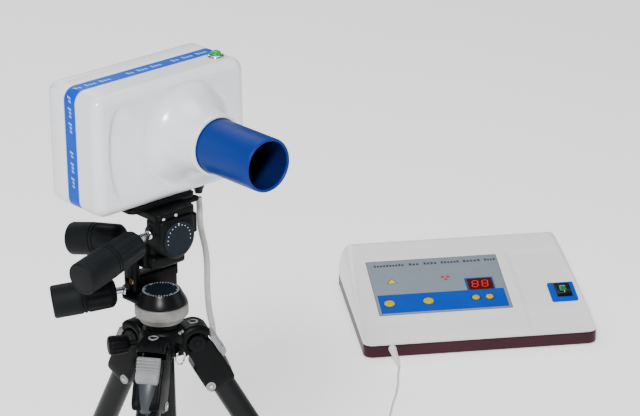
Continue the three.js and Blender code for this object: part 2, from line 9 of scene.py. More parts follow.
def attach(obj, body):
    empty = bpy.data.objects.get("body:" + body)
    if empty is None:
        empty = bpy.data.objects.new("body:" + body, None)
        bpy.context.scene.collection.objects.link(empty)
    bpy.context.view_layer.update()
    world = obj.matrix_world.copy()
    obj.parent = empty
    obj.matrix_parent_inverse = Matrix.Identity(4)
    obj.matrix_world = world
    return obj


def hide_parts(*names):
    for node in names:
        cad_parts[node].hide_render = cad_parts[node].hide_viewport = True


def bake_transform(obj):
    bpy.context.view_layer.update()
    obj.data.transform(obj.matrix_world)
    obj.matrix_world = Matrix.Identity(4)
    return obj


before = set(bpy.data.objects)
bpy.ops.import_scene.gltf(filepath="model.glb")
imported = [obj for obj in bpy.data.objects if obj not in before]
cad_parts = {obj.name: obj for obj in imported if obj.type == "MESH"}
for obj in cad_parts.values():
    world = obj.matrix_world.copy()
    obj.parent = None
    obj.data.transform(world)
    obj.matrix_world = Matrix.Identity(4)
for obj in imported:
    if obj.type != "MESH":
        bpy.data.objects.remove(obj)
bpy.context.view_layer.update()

# ------------------------------------------------------------------ frames of reference
# SHIFT is the tripod's axis and DESK the console's corner and turn, as in the CAD
SHIFT = (-477.602, -284.29)
DESK = (736.5, 493.7, radians(-33.84))
SLOPE, RIM = 0.17, 21.07
SLOPE_ANGLE = atan(SLOPE)
UP, BACK, FORWARD = Vector((0, 0, 1)), Vector((0, 1, 0)), Vector((0, -1, 0))


def tripod(x, y, z):
    """Millimetres about the tripod's axis to metres in the row frame."""
    return Vector((x + SHIFT[0], y + SHIFT[1], z)) / 1000


def millimetres(p):
    """The other way round: metres in the row frame to millimetres about the tripod's axis."""
    return p * 1000 - Vector((*SHIFT, 0))


def desk(x, y, z):
    """Millimetres from the console's front left corner to the row frame."""
    c, s = cos(DESK[2]), sin(DESK[2])
    return tripod(DESK[0] + c * x - s * y, DESK[1] + s * x + c * y, z)


def slope(x, y, h):
    """Console's sloping top: x, y in plan and h above the slope."""
    return desk(x, y - h * sin(SLOPE_ANGLE), RIM + SLOPE * y + h * cos(SLOPE_ANGLE))


def turned(v, place):
    """Direction v of a place function's own axes in the row frame."""
    return (place(*v) - place(0, 0, 0)).normalized()


# ------------------------------------------------------------------ meshes
OPEN = (False, False)  # neither end of a loft is capped


def around(count):
    """Angles of evenly spaced points on a full circle."""
    return [2 * pi * k / count for k in range(count)]


def build(name, mesh, mat, body, hides=(), sharp=38, slot=None):
    """One piece from a (verts, faces) pair in metres; edges sharper than `sharp` degrees stay hard."""
    verts, faces = mesh
    me = bpy.data.meshes.new(name)
    me.from_pydata([tuple(v) for v in verts], [], faces)
    bm = bmesh.new()
    bm.from_mesh(me)
    bmesh.ops.remove_doubles(bm, verts=bm.verts, dist=2e-6)
    bmesh.ops.dissolve_degenerate(bm, edges=bm.edges, dist=1e-6)
    bmesh.ops.recalc_face_normals(bm, faces=bm.faces)
    for f in bm.faces:
        f.smooth = True
    for e in bm.edges:
        if len(e.link_faces) == 2 and e.calc_face_angle(0) > radians(sharp):
            e.smooth = False
    bm.to_mesh(me)
    bm.free()
    ob = bpy.data.objects.new(name, me)
    bpy.context.scene.collection.objects.link(ob)
    ob.data.materials.append(mat)
    if body:
        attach(ob, body)
    slot = slot or SLOTS[mat.name]
    if hides:
        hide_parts(*hides)
    return ob


def loft(rings, cap=(True, True), loop=False):
    """Verts and faces of a skin through rings of equal point counts."""
    n = len(rings[0])
    verts = [v for r in rings for v in r]
    faces = []
    for i in range(len(rings) if loop else len(rings) - 1):
        j = (i + 1) % len(rings)
        for k in range(n):
            m = (k + 1) % n
            faces.append((i * n + k, i * n + m, j * n + m, j * n + k))
    if not loop:
        for use, i in ((cap[0], 0), (cap[1], len(rings) - 1)):
            if use:
                ring = list(range(i * n, i * n + n))
                faces.append(tuple(ring if i else reversed(ring)))
    return verts, faces


def join(*parts):
    """Several (verts, faces) pairs as one."""
    verts, faces = [], []
    for v, f in parts:
        k = len(verts)
        verts += list(v)
        faces += [tuple(i + k for i in q) for q in f]
    return verts, faces


def lathe(at, axis, profile, seg=56, cap=(True, True)):
    """Revolved skin: profile of (distance along the axis, radius) in mm, `at` in metres."""
    axis = axis.normalized()
    u = (Vector((1, 0, 0)) if abs(axis.z) > 0.9 else UP).cross(axis).normalized()
    w = axis.cross(u)
    rings = []
    for d, r in profile:
        c = at + axis * (d / 1000)
        rings.append([c + (u * cos(t) + w * sin(t)) * (r / 1000) for t in around(seg)])
    return loft(rings, cap)


def tube(points, radius, sides=16, cap=(True, True)):
    """Round tube along points in metres, radius in mm, on a turning frame without twist."""
    pts = [Vector(p) for p in points]
    t = (pts[1] - pts[0]).normalized()
    u = t.orthogonal().normalized()
    rings = []
    for i, p in enumerate(pts):
        a, b = pts[max(i - 1, 0)], pts[min(i + 1, len(pts) - 1)]
        t2 = (b - a).normalized()
        u = (u - t2 * u.dot(t2)).normalized()
        w = t2.cross(u)
        rings.append([p + (u * cos(s) + w * sin(s)) * (radius / 1000) for s in around(sides)])
    return loft(rings, cap)


def outline(a0, a1, b0, b1, r, seg=8, step=0.0):
    """Rounded rectangle in mm; straight sides are divided at about `step` mm."""
    pts = []
    centres = [(a1 - r, b1 - r, 0), (a0 + r, b1 - r, 90), (a0 + r, b0 + r, 180), (a1 - r, b0 + r, 270)]
    for c, (plug_at, cb, start) in enumerate(centres):
        for k in range(seg + 1):
            t = radians(start + 90 * k / seg)
            pts.append((plug_at + r * cos(t), cb + r * sin(t)))
        if step:
            na, nb, nstart = centres[(c + 1) % 4]
            t = radians(nstart)
            end = (na + r * cos(t), nb + r * sin(t))
            last = pts[-1]
            n = max(1, round((dist(last, end)) / step))
            pts += [(last[0] + (end[0] - last[0]) * k / n, last[1] + (end[1] - last[1]) * k / n)
                for k in range(1, n)]
    return pts


def pillow(place, a0, a1, b0, b1, h0, h1, r, edge, seg=8, steps=4, both=False):
    """Rounded slab: place(a, b, h) maps millimetres to the row frame; its top edge is a full round."""
    rings = []
    for k in range(steps + 1) if both else ():
        t = pi / 2 * k / steps
        e = edge * (1 - sin(t))
        rings.append([place(a, b, h0 + edge * (1 - cos(t))) for a,
            b in outline(a0 + e, a1 - e, b0 + e, b1 - e, max(r - e, 0.3), seg)])
    if not both:
        rings.append([place(a, b, h0) for a, b in outline(a0, a1, b0, b1, r, seg)])
    for k in range(steps + 1):
        t = pi / 2 * k / steps
        e = edge * (1 - cos(t))
        rings.append([place(a, b, h1 - edge * (1 - sin(t))) for a,
            b in outline(a0 + e, a1 - e, b0 + e, b1 - e, max(r - e, 0.3), seg)])
    return loft(rings)


def smooth_path(points, step):
    """Centripetal Catmull-Rom through points, resampled at about `step` metres."""
    pts = [Vector(p) for p in points]
    pts = [pts[0] * 2 - pts[1]] + pts + [pts[-1] * 2 - pts[-2]]
    fine = []
    for i in range(1, len(pts) - 2):
        p0, p1, p2, p3 = pts[i - 1:i + 3]
        t0, t1 = 0.0, (p1 - p0).length ** 0.5
        t2 = t1 + (p2 - p1).length ** 0.5
        t3 = t2 + (p3 - p2).length ** 0.5
        for k in range(24):
            t = t1 + (t2 - t1) * k / 24
            a1 = p0 * ((t1 - t) / (t1 - t0)) + p1 * ((t - t0) / (t1 - t0))
            a2 = p1 * ((t2 - t) / (t2 - t1)) + p2 * ((t - t1) / (t2 - t1))
            a3 = p2 * ((t3 - t) / (t3 - t2)) + p3 * ((t - t2) / (t3 - t2))
            b1 = a1 * ((t2 - t) / (t2 - t0)) + a2 * ((t - t0) / (t2 - t0))
            b2 = a2 * ((t3 - t) / (t3 - t1)) + a3 * ((t - t1) / (t3 - t1))
            fine.append(b1 * ((t2 - t) / (t2 - t1)) + b2 * ((t - t1) / (t2 - t1)))
    fine.append(pts[-2])
    out, run = [fine[0]], 0.0
    for a, b in zip(fine, fine[1:]):
        run += (b - a).length
        if run >= step:
            out.append(b)
            run = 0.0
    if (out[-1] - fine[-1]).length > step * 0.4:
        out.append(fine[-1])
    else:
        out[-1] = fine[-1]
    return out


def length(path):
    """Length of a path in metres."""
    return sum((b - a).length for a, b in zip(path, path[1:]))


# ------------------------------------------------------------------ materials
SLOTS = {}


def material(name, slot, color, rough, metal=0.0, coat=0.0, vary=0.05, blotch=25, grain=700, bump=0.12,
        depth=0.15, rough_vary=0.06, wear=0.0, wear_color=(0.5, 0.5, 0.5), glow=None, stripes=None,
        spec=0.5):
    """Procedural material: blotches of colour, fine grain in bump and gloss, and worn edges or edge stripes.

    It finishes the record's material slot `slot`. depth is the bump's depth in mm.
    glow is (red, green, blue, strength), and stripes is (axis, four limits in metres, colour).
    """
    m = bpy.data.materials.new(name)
    SLOTS[m.name] = slot
    m.use_nodes = True
    nt = m.node_tree
    nodes, link = nt.nodes, nt.links.new
    b = nodes["Principled BSDF"]

    def tinted(under, factor, tint):
        """Mix tint over the colour socket under, by the socket factor."""
        mx = nodes.new("ShaderNodeMix")
        mx.data_type = "RGBA"
        link(factor, mx.inputs["Factor"])
        link(under, mx.inputs[6])
        mx.inputs[7].default_value = list(tint) + [1]
        return mx.outputs[2]

    b.inputs["Metallic"].default_value = metal
    b.inputs["Coat Weight"].default_value = coat
    b.inputs["Coat Roughness"].default_value = 0.08
    b.inputs["Specular IOR Level"].default_value = spec
    place = nodes.new("ShaderNodeTexCoord")
    big, fine = nodes.new("ShaderNodeTexNoise"), nodes.new("ShaderNodeTexNoise")
    for n, s, d in ((big, blotch, 3), (fine, grain, 4)):
        n.inputs["Scale"].default_value = s
        n.inputs["Detail"].default_value = d
        link(place.outputs["Object"], n.inputs["Vector"])
    ramp = nodes.new("ShaderNodeValToRGB")
    lo, hi = ramp.color_ramp.elements
    lo.position, hi.position = 0.3, 0.7
    lo.color = [max(c * (1 - vary), 0) for c in color] + [1]
    hi.color = [min(c * (1 + vary), 1) for c in color] + [1]
    link(big.outputs["Fac"], ramp.inputs["Fac"])
    out = ramp.outputs["Color"]
    if stripes:
        axis, limits, stripe_color = stripes
        sep = nodes.new("ShaderNodeSeparateXYZ")
        link(place.outputs["Object"], sep.inputs["Vector"])
        bands = nodes.new("ShaderNodeValToRGB")
        bands.color_ramp.interpolation = "CONSTANT"
        lo_v, hi_v = limits[0], limits[-1]
        mp = nodes.new("ShaderNodeMapRange")
        mp.inputs["From Min"].default_value, mp.inputs["From Max"].default_value = lo_v, hi_v
        link(sep.outputs[axis], mp.inputs["Value"])
        link(mp.outputs["Result"], bands.inputs["Fac"])
        e = bands.color_ramp.elements
        e[0].position, e[0].color = 0, (1, 1, 1, 1)
        e[1].position, e[1].color = (limits[1] - lo_v) / (hi_v - lo_v), (0, 0, 0, 1)
        x = e.new((limits[2] - lo_v) / (hi_v - lo_v))
        x.color = (1, 1, 1, 1)
        out = tinted(out, bands.outputs["Color"], stripe_color)
    if wear:
        geo = nodes.new("ShaderNodeNewGeometry")
        worn = nodes.new("ShaderNodeValToRGB")
        worn.color_ramp.elements[0].position, worn.color_ramp.elements[1].position = 0.52, 0.6
        link(geo.outputs["Pointiness"], worn.inputs["Fac"])
        ml = nodes.new("ShaderNodeMath")
        ml.operation = "MULTIPLY"
        link(worn.outputs["Color"], ml.inputs[0])
        link(big.outputs["Fac"], ml.inputs[1])
        m3 = nodes.new("ShaderNodeMath")
        m3.operation = "MULTIPLY"
        m3.inputs[1].default_value = wear
        link(ml.outputs[0], m3.inputs[0])
        out = tinted(out, m3.outputs[0], wear_color)
    link(out, b.inputs["Base Color"])
    mr = nodes.new("ShaderNodeMapRange")
    mr.inputs["To Min"].default_value = max(rough - rough_vary, 0.02)
    mr.inputs["To Max"].default_value = min(rough + rough_vary, 1)
    link(fine.outputs["Fac"], mr.inputs["Value"])
    link(mr.outputs["Result"], b.inputs["Roughness"])
    if bump:
        bp = nodes.new("ShaderNodeBump")
        bp.inputs["Strength"].default_value = bump
        bp.inputs["Distance"].default_value = depth / 1000
        link(fine.outputs["Fac"], bp.inputs["Height"])
        link(bp.outputs["Normal"], b.inputs["Normal"])
    if glow:
        b.inputs["Emission Color"].default_value = list(glow[:3]) + [1]
        b.inputs["Emission Strength"].default_value = glow[3]
    return m


WHITE = material("white_gloss", "white_housing", (0.68, 0.69, 0.72), 0.26, coat=0.25, vary=0.012,
    blotch=9, grain=420, bump=0.04, rough_vary=0.04)
# console and hand switch white: the same housing plastic as the head, made brighter than the head's white;
# painted light
WHITE_PAINTED_LIGHT = material("console_white_painted_light", "white_housing", (0.86, 0.86, 0.87), 0.33, coat=0.1, vary=0.012,
    blotch=9, grain=900, bump=0.10, rough_vary=0.05)
CONE = material("cone_blue", "blue_cone", (0.002, 0.021, 0.155), 0.40, vary=0.08, blotch=16, grain=1100,
    bump=0.16, rough_vary=0.08, spec=0.12)
# cone's inner wall: a darker copy of the cone's own blue, painted shade inside the tube
CONE_INSIDE_SHADE = material("cone_inside_painted_shade", "blue_cone", (0.001, 0.005, 0.05), 0.6, vary=0.1, grain=900, bump=0.15,
    spec=0.1)
BLACK = material("black_plastic", "black_plastic", (0.0025, 0.0025, 0.003), 0.5, vary=0.25, blotch=60,
    grain=1500, bump=0.35, depth=0.2, rough_vary=0.1, spec=0.07)
CAST = material("black_casting", "black_casting", (0.0020, 0.0024, 0.0026), 0.42, vary=0.25, blotch=50,
    grain=1100, bump=0.4, depth=0.25, rough_vary=0.1, wear=0.1, wear_color=(0.04, 0.04, 0.045), spec=0.08)
GRIP = material("grip_rubber", "black_plastic", (0.0045, 0.0056, 0.0064), 0.6, vary=0.2, blotch=45,
    grain=2200, bump=0.55, depth=0.25, rough_vary=0.1, spec=0.1)
STEEL = material("steel", "chrome", (0.55, 0.55, 0.56), 0.22, metal=1.0, vary=0.08, blotch=80, grain=1600,
    bump=0.05, rough_vary=0.1)
BRASS = material("bronze_screw", "chrome", (0.35, 0.22, 0.10), 0.35, metal=1.0, vary=0.12, blotch=300,
    grain=1600, bump=0.1)
AGED = material("aged_grey", "ring_grey", (0.17, 0.165, 0.155), 0.5, metal=0.2, vary=0.2, blotch=90,
    grain=800, bump=0.4, rough_vary=0.12, spec=0.3)
LATCH = material("latch_grey", "latch_grey", (0.19, 0.193, 0.2), 0.5, vary=0.12, blotch=60, grain=1100,
    bump=0.25, wear=0.3, wear_color=(0.42, 0.42, 0.42), spec=0.3)
TUBE = material("tube_black", "tube_black", (0.0035, 0.0038, 0.0042), 0.32, metal=0.0, vary=0.2,
    blotch=30, grain=900, bump=0.08, rough_vary=0.08, spec=0.14)
GREY_TUBE = material("tube_grey", "tube_black", (0.05, 0.05, 0.055), 0.28, metal=0.7, vary=0.15,
    blotch=30, grain=900, bump=0.06)
RUBBER = material("foot_rubber", "rubber", (0.003, 0.003, 0.003), 0.8, vary=0.3, blotch=90, grain=900,
    bump=0.6, depth=0.3, spec=0.15)
MAROON = material("maroon_base", "maroon_base", (0.036, 0.009, 0.015), 0.38, vary=0.12, blotch=18,
    grain=900, bump=0.14, rough_vary=0.08, spec=0.15)
CABLE = material("grey_cable", "grey_cable", (0.36, 0.365, 0.36), 0.55, vary=0.08, blotch=60, grain=1200,
    bump=0.25, depth=0.12)
CORD = material("white_cord", "white_cord", (0.74, 0.74, 0.72), 0.5, vary=0.04, blotch=60, grain=1400,
    bump=0.2, depth=0.1)
# leg nose: a lighter grey copy of the black casting, painted sheen for the grey reflection on the leg's front
NOSE_SHEEN = material("nose_painted_sheen", "black_casting", (0.026, 0.030, 0.038), 0.45, metal=0.2, vary=0.15,
    blotch=60, grain=1200, bump=0.15, rough_vary=0.08)
DARK = material("socket_black", "socket_black", (0.006, 0.006, 0.0065), 0.55, vary=0.2, blotch=70,
    grain=1400, bump=0.3, spec=0.15)

# ------------------------------------------------------------------ camera, light, floor
az, el, roll = radians(-40.25), radians(22.11), radians(-1.19)
back = Vector((sin(az) * cos(el), -cos(az) * cos(el), sin(el)))
right = Vector((cos(az), sin(az), 0))
upward = back.cross(right)
tilted_right = right * cos(roll) + upward * sin(roll)
tilted_up = upward * cos(roll) - right * sin(roll)
cam = bpy.data.cameras.new("camera")
cam.sensor_width, cam.lens = 36, 168.75
cam.shift_x, cam.shift_y = 0.035984375, 0.0538125
cam.clip_end = 30
eye = bpy.data.objects.new("camera", cam)
eye.matrix_world = Matrix.Translation(tripod(-1849.5, -2418.1, 1762.9)) @ Matrix((tilted_right, tilted_up,
    back)).transposed().to_4x4()
bpy.context.scene.collection.objects.link(eye)
bpy.context.scene.camera = eye


def area(name, at, to, size, power):
    """Round studio lamp at one point, aimed at another."""
    light = bpy.data.lights.new(name, "AREA")
    light.shape, light.size, light.energy = "DISK", size, power
    ob = bpy.data.objects.new(name, light)
    ob.location = at
    ob.rotation_euler = (Vector(to) - Vector(at)).to_track_quat("-Z", "Y").to_euler()
    bpy.context.scene.collection.objects.link(ob)


middle = (0, 0, 0.35)
area("key", (-2.3, -2.0, 2.7), middle, 0.6, 185)
area("right_fill", (2.4, -2.6, 1.8), middle, 2.2, 20)
area("left_fill", (-3.0, 0.6, 1.6), middle, 2.4, 10)
area("top", (0.3, 0.4, 3.6), middle, 2.5, 62)
area("rim", (0.8, 3.0, 2.2), middle, 2.0, 30)
world = bpy.data.worlds.new("studio")
world.use_nodes = True
world.node_tree.nodes["Background"].inputs["Color"].default_value = (0.96, 0.98, 1.0, 1)
world.node_tree.nodes["Background"].inputs["Strength"].default_value = 0.20
bpy.context.scene.world = world
FLOOR = material("floor", None, (0.95, 0.95, 0.95), 0.8, vary=0.01, blotch=2, grain=60, bump=0.0,
    glow=(1, 1, 1, 0.55))
size = 14
floor = build("floor", ([(-size, -size, -0.0006), (size, -size, -0.0006), (size, size, -0.0006),
    (-size, size, -0.0006)], [(0, 1, 2, 3)]), FLOOR, None)

# ------------------------------------------------------------------ cords
HEAD_CABLE = [(77.8, 25.8, 561.3), (77.9, 25.7, 553), (78.1, 25.6, 545), (78.2, 25.4, 523),
    (79.9, 24.1, 509), (81.9, 22.3, 494), (82.9, 21.6, 475), (82.5, 21.8, 453), (82.8, 21.6, 431),
    (83.8, 20.8, 416), (85.6, 19.3, 401), (90.4, 15.3, 348), (108, -8, 292), (126, -14, 225),
    (150, -14, 150), (172, -2, 75), (196, 20, 23), (216, 37, 5.4), (238.5, 45.3, 3.9), (252, 46.3, 3.6)]
HAND_CORD = [(751.4, 436.7, 4.0), (744, 429.4, 2.2), (733.8, 419.9, 1.8), (715.5, 400, 1.75),
    (690.7, 376.2, 1.75), (662.5, 352.7, 1.75), (633.5, 327.3, 1.75), (606, 308, 1.75), (585, 294, 1.75),
    (567, 278, 1.75), (554.5, 265, 1.75), (547, 257, 1.75)]


def coil(cx, cy, start, turns, per=28):
    """Spiral points: turns is a list of (radius, height) in mm, one a turn, ending after the last."""
    pts = []
    for i, (r, z) in enumerate(turns):
        nr, nz = turns[min(i + 1, len(turns) - 1)]
        for k in range(per):
            f = k / per
            g = 0.0 if f < 0.72 else (1 - cos(pi * (f - 0.72) / 0.28)) / 2
            t = radians(start) + 2 * pi * f
            rr, zz = r + (nr - r) * g, z + (nz - z) * g
            pts.append((cx + rr * cos(t), cy + rr * sin(t), zz))
    return pts


full = smooth_path([tripod(*p) for p in HEAD_CABLE], 0.005)
chain = [("cable_to_tilt", "xray_head", "front_tilt", 0.561, 0.512),
    ("cable_to_pan", "front_tilt", "pan", 0.512, 0.463),
    ("cable_to_column", "pan", "column", 0.463, 0.385),
    ("cable_to_stand", "column", "stand_frame", 0.385, 0.25)]
before = None
for name, a, b, z1, z0 in chain:
    part = [p for p in full if z0 - 0.0049 <= p.z <= z1 + 0.0001]
    if before is not None and (part[0] - before).length > 1e-6:
        part = [before] + part
    before = part[-1]
    piece = build(name, tube(part, 3.5, 16), CABLE, None, sharp=60)
    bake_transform(piece)
rest = [before] + [p for p in full if p.z < before.z - 0.002][:-1]
COIL_X, COIL_Y = 266, 92
turns = coil(COIL_X, COIL_Y, -90, [(45.4, 3.55), (38.4, 3.55), (31.4, 3.55), (34.9, 9.65), (41.9, 9.65)])
tail = [(COIL_X + 41.9 * cos(radians(a)), COIL_Y + 41.9 * sin(radians(a)), 9.6) for a in (-90, -78)]
tail += [(283, 53.2, 9.4), (292, 56, 9.1), (303, 61.2, 8.8), (312, 66, 8.6), (316.5, 68.6, 8.5)]
path = rest + smooth_path([rest[-1]] + [tripod(*p) for p in turns + tail], 0.006)[1:]
piece = build("head_cable_run", tube(path, 3.5, 14), CABLE, "stand_frame",
    ("head_cable", "head_cable_coil"), sharp=60)
HEAD_CABLE_LENGTH = length(path)

rows = [[26.8, 23.4, 20, 16.6, 13.2], [14.9, 18.3, 21.7, 25.1], [23.4, 20, 16.6], [18.3, 21.7]]
COIL_X, COIL_Y = 560, 232
turns = coil(COIL_X, COIL_Y, 135, [(r, 1.75 + 2.97 * i) for i, row in enumerate(rows) for r in row], 20)
tail = [(COIL_X + 21.7 * cos(radians(a)), COIL_Y + 21.7 * sin(radians(a)), 10.9) for a in (135, 150)]
tail += [(536.5, 236.5, 11.4), (527, 225, 12), (520.5, 217.6, 12.9), (517.4, 214.4, 13.2)]
path = smooth_path([tripod(*p) for p in HAND_CORD + turns + tail], 0.004)
piece = build("hand_cord_run", tube(path, 1.7, 10), CORD, "stand_frame", ("hand_cord", "hand_cord_coil"),
    sharp=60)
print("cords", round(HEAD_CABLE_LENGTH, 3), round(length(path), 3))

# ------------------------------------------------------------------ x-ray head
LEFT, RIGHT, LOW, TOP, REAR = -78.2, 129.2, 576.2, 714.2, 90.8
SEAM0, SEAM1, EDGE = 34.9, 56.5, 12.0
CONE_X, CONE_Z = 44.3, 646.5


def shell(inset, y):
    """Housing outline at depth y, drawn in by inset."""
    return [tripod(x, y, z) for x, z in outline(LEFT + inset, RIGHT - inset, LOW + inset, TOP - inset,
        14 - inset, 12, 7)]


def smoothstep(t):
    """Ease from 0 to 1 as t goes from 0 to 1, flat beyond."""
    t = min(max(t, 0.0), 1.0)
    return t * t * (3 - 2 * t)


def scoop(x, z):
    """Depth of the tall lens-shaped hollow beside the beam neck."""
    v = (z - 646) / 52
    if abs(v) >= 1:
        return 0.0
    w = sqrt(1 - v * v)
    left, right_side = -46 - 17.5 * w, -44 + 32 * w
    s = (x - left) / (right_side - left)
    if not 0 < s < 1:
        return 0.0
    return 6.2 * w ** 1.2 * smoothstep(s / 0.15) * (1 - smoothstep((s - 0.12) / 0.88))


def dimple(x, z):
    """Soft hollows where the neck's foot meets the face."""
    out = 0.0
    for ang, far, wide in ((42, 56, 19), (-128, 57, 19)):
        cx, cz = CONE_X + far * cos(radians(ang)), CONE_Z + far * sin(radians(ang))
        t = radians(ang)
        a = (x - cx) * cos(t) + (z - cz) * sin(t)
        b = -(x - cx) * sin(t) + (z - cz) * cos(t)
        out += 2.6 * exp(-(a / 4.6) ** 2 - (b / wide) ** 2)
    return out


NECK = [(52.9, 31.2), (52.9, 32.4), (52.3, 33.4), (51, 33.9), (47, 34.2), (42, 34.6), (36, 35.3),
    (30, 36.4), (25, 37.8), (20, 39.6), (16, 41.5), (12, 43.8), (9, 46), (6.4, 48.4), (4.2, 51),
    (2.6, 53.6), (1.4, 56.4), (0.6, 59.4)]
rings = [shell(0, SEAM0), shell(0, EDGE + 2)]
rings += [shell(EDGE * (1 - cos(t)), EDGE * (1 - sin(t)))
    for t in (radians(90 * k / 10) for k in range(11))]
edge_ring = [millimetres(p) for p in rings[-1]]


def face_point(p, u):
    """From the flat face's edge (u = 0) to the neck's foot (u = 1)."""
    d = Vector((p.x - CONE_X, 0, p.z - CONE_Z))
    q = Vector((CONE_X, 0, CONE_Z)) + d.normalized() * NECK[-1][1]
    x, z = p.x + (q.x - p.x) * u, p.z + (q.z - p.z) * u
    far = hypot(x - CONE_X, z - CONE_Z)
    lift = 0.6 * exp(-((far - NECK[-1][1]) / 9) ** 2)
    return tripod(x, scoop(x, z) + dimple(x, z) - lift, z)


spokes = [atan2(p.z - CONE_Z, p.x - CONE_X) for p in edge_ring]
for k in range(1, 31):
    rings.append([face_point(p, k / 30) for p in edge_ring])
for d, r in reversed(NECK[:-1]):
    rings.append([tripod(CONE_X + r * cos(a),
        -d + dimple(CONE_X + r * cos(a), CONE_Z + r * sin(a)) * (1 if d < 9 else 0), CONE_Z + r * sin(a))
        for a in spokes])
inner = [(30.6, 52.3), (30.4, 50), (30.4, 36.5), (24, 36)]
for r, d in inner:
    rings.append([tripod(CONE_X + r * cos(a), -d, CONE_Z + r * sin(a)) for a in spokes])
rings.insert(0, shell(3, SEAM0))
rings.insert(0, shell(3, SEAM0 - 8))
build("front_cover_moulding", loft(rings, OPEN), WHITE, "xray_head", ("head_front_cover",), sharp=50)

rings = [shell(3, SEAM1 + 8), shell(3, SEAM1), shell(0.5, SEAM1), shell(0, SEAM1 + 0.5)]
rings += [shell(EDGE * (1 - sin(t)), REAR - EDGE * (1 - cos(t)))
    for t in (radians(90 - 90 * k / 10) for k in range(11))]
rear_face = [millimetres(p) for p in rings[-1]]
mid = Vector(((LEFT + RIGHT) / 2, 0, (LOW + TOP) / 2))
for k, dip in ((0.94, 0), (0.92, 0.0), (0.905, 0.9), (0.89, 1.2), (0.6, 1.2), (0.3, 1.2), (0.02, 1.2)):
    rings.append([tripod(mid.x + (p.x - mid.x) * k, REAR - dip, mid.z + (p.z - mid.z) * k)
        for p in rear_face])
build("rear_cover_moulding", loft(rings, (False, True)), WHITE, "xray_head", ("head_rear_cover",), sharp=50)
for i, (x, z) in enumerate(((-56, 600), (105.6, 600), (-56, 691), (105.6, 691))):
    build(f"rear_screw_well_{i + 1}",
        lathe(tripod(x, REAR - 1.2, z), BACK,
        [(0, 6.2), (0.9, 6.2), (1.15, 5.8), (1.15, 3.6), (0.2, 3.3), (0.2, 0.3)], 32), WHITE, "xray_head")
    build(f"rear_screw_{i + 1}",
        lathe(tripod(x, REAR - 1.1, z), BACK,
        [(0, 2.9), (0.5, 2.8), (0.9, 2.0), (0.9, 1.1), (0.3, 1.0), (0.3, 0.1)], 24), STEEL, "xray_head")

band_y = [(y + SHIFT[1]) / 1000 for y in (SEAM0, SEAM0 + 1.5, SEAM1 - 1.5, SEAM1)]
BAND = material("band_blue_edged", "blue_band", (0.0, 0.055, 0.42), 0.38, vary=0.05, blotch=40, grain=900,
    bump=0.06, spec=0.1, stripes=("Y", band_y, (0.22, 0.42, 0.80)))
rings = [shell(2.6, SEAM0 + 0.05), shell(0.35, SEAM0 + 0.05), shell(0.08, SEAM0 + 0.35)]
rings += [shell(0.04, SEAM0 + (SEAM1 - SEAM0) * k / 8) for k in range(1, 8)]
rings += [shell(0.08, SEAM1 - 0.35), shell(0.35, SEAM1 - 0.05), shell(2.6, SEAM1 - 0.05)]
build("seam_band_strip", loft(rings, OPEN), BAND, "xray_head", ("seam_band",), sharp=50)

# rows of slanted strokes stand where a maker would print a name round the band
strokes = []
for side, start, step, count in (("x", 708, -4.3, 10), ("x", 645, -4.3, 10), ("z", -71, 4.9, 10),
        ("z", 0, 4.8, 10), ("z", 62, 4.9, 10)):
    for k in range(count):
        if k in (2, 6):
            continue
        tall = 5.4 if k in (0, 3, 7) else 3.6
        u0, u1, y0 = start + step * k, start + step * (k + 0.55), 43.2
        lean = step * 0.3
        pts = [(u0, y0 + tall), (u0 + lean, y0), (u1 + lean, y0), (u1, y0 + tall)]
        if side == "x":
            strokes.append(loft([[tripod(LEFT - h, y, u) for u, y in pts] for h in (-0.1, 0.1)]))
        else:
            pts.reverse()
            strokes.append(loft([[tripod(u, y, TOP + h) for u, y in pts] for h in (-0.1, 0.1)]))
PALE = material("band_print", "blue_band", (0.16, 0.42, 0.80), 0.5, vary=0.08, blotch=200, grain=1800,
    bump=0.05, spec=0.1)
build("band_strokes", join(*strokes), PALE, "xray_head", sharp=30)

cone_at = tripod(CONE_X, 0, CONE_Z)
profile = [(35.4, 26.2), (35.4, 29.6), (36, 30), (60, 30), (90, 30), (120, 29.95), (131.5, 29.95),
    (133, 29.8), (134.6, 29.9), (136, 29.75), (136.9, 29.2), (137.3, 28.3), (137.2, 27.4), (136.6, 26.8),
    (135.5, 26.4)]
build("cone_outside", lathe(cone_at, FORWARD, profile, 96, OPEN), CONE, "xray_head", ("aiming_cone",),
    sharp=50)
# inner wall in the darker copy of the cone blue: painted shade
build("cone_inside_wall",
    lathe(cone_at, FORWARD, [(135.6, 26.42), (120, 26.1), (90, 26), (60, 26), (40.6, 26), (40.4, 9.2)],
    96, OPEN), CONE_INSIDE_SHADE, "xray_head", sharp=50)

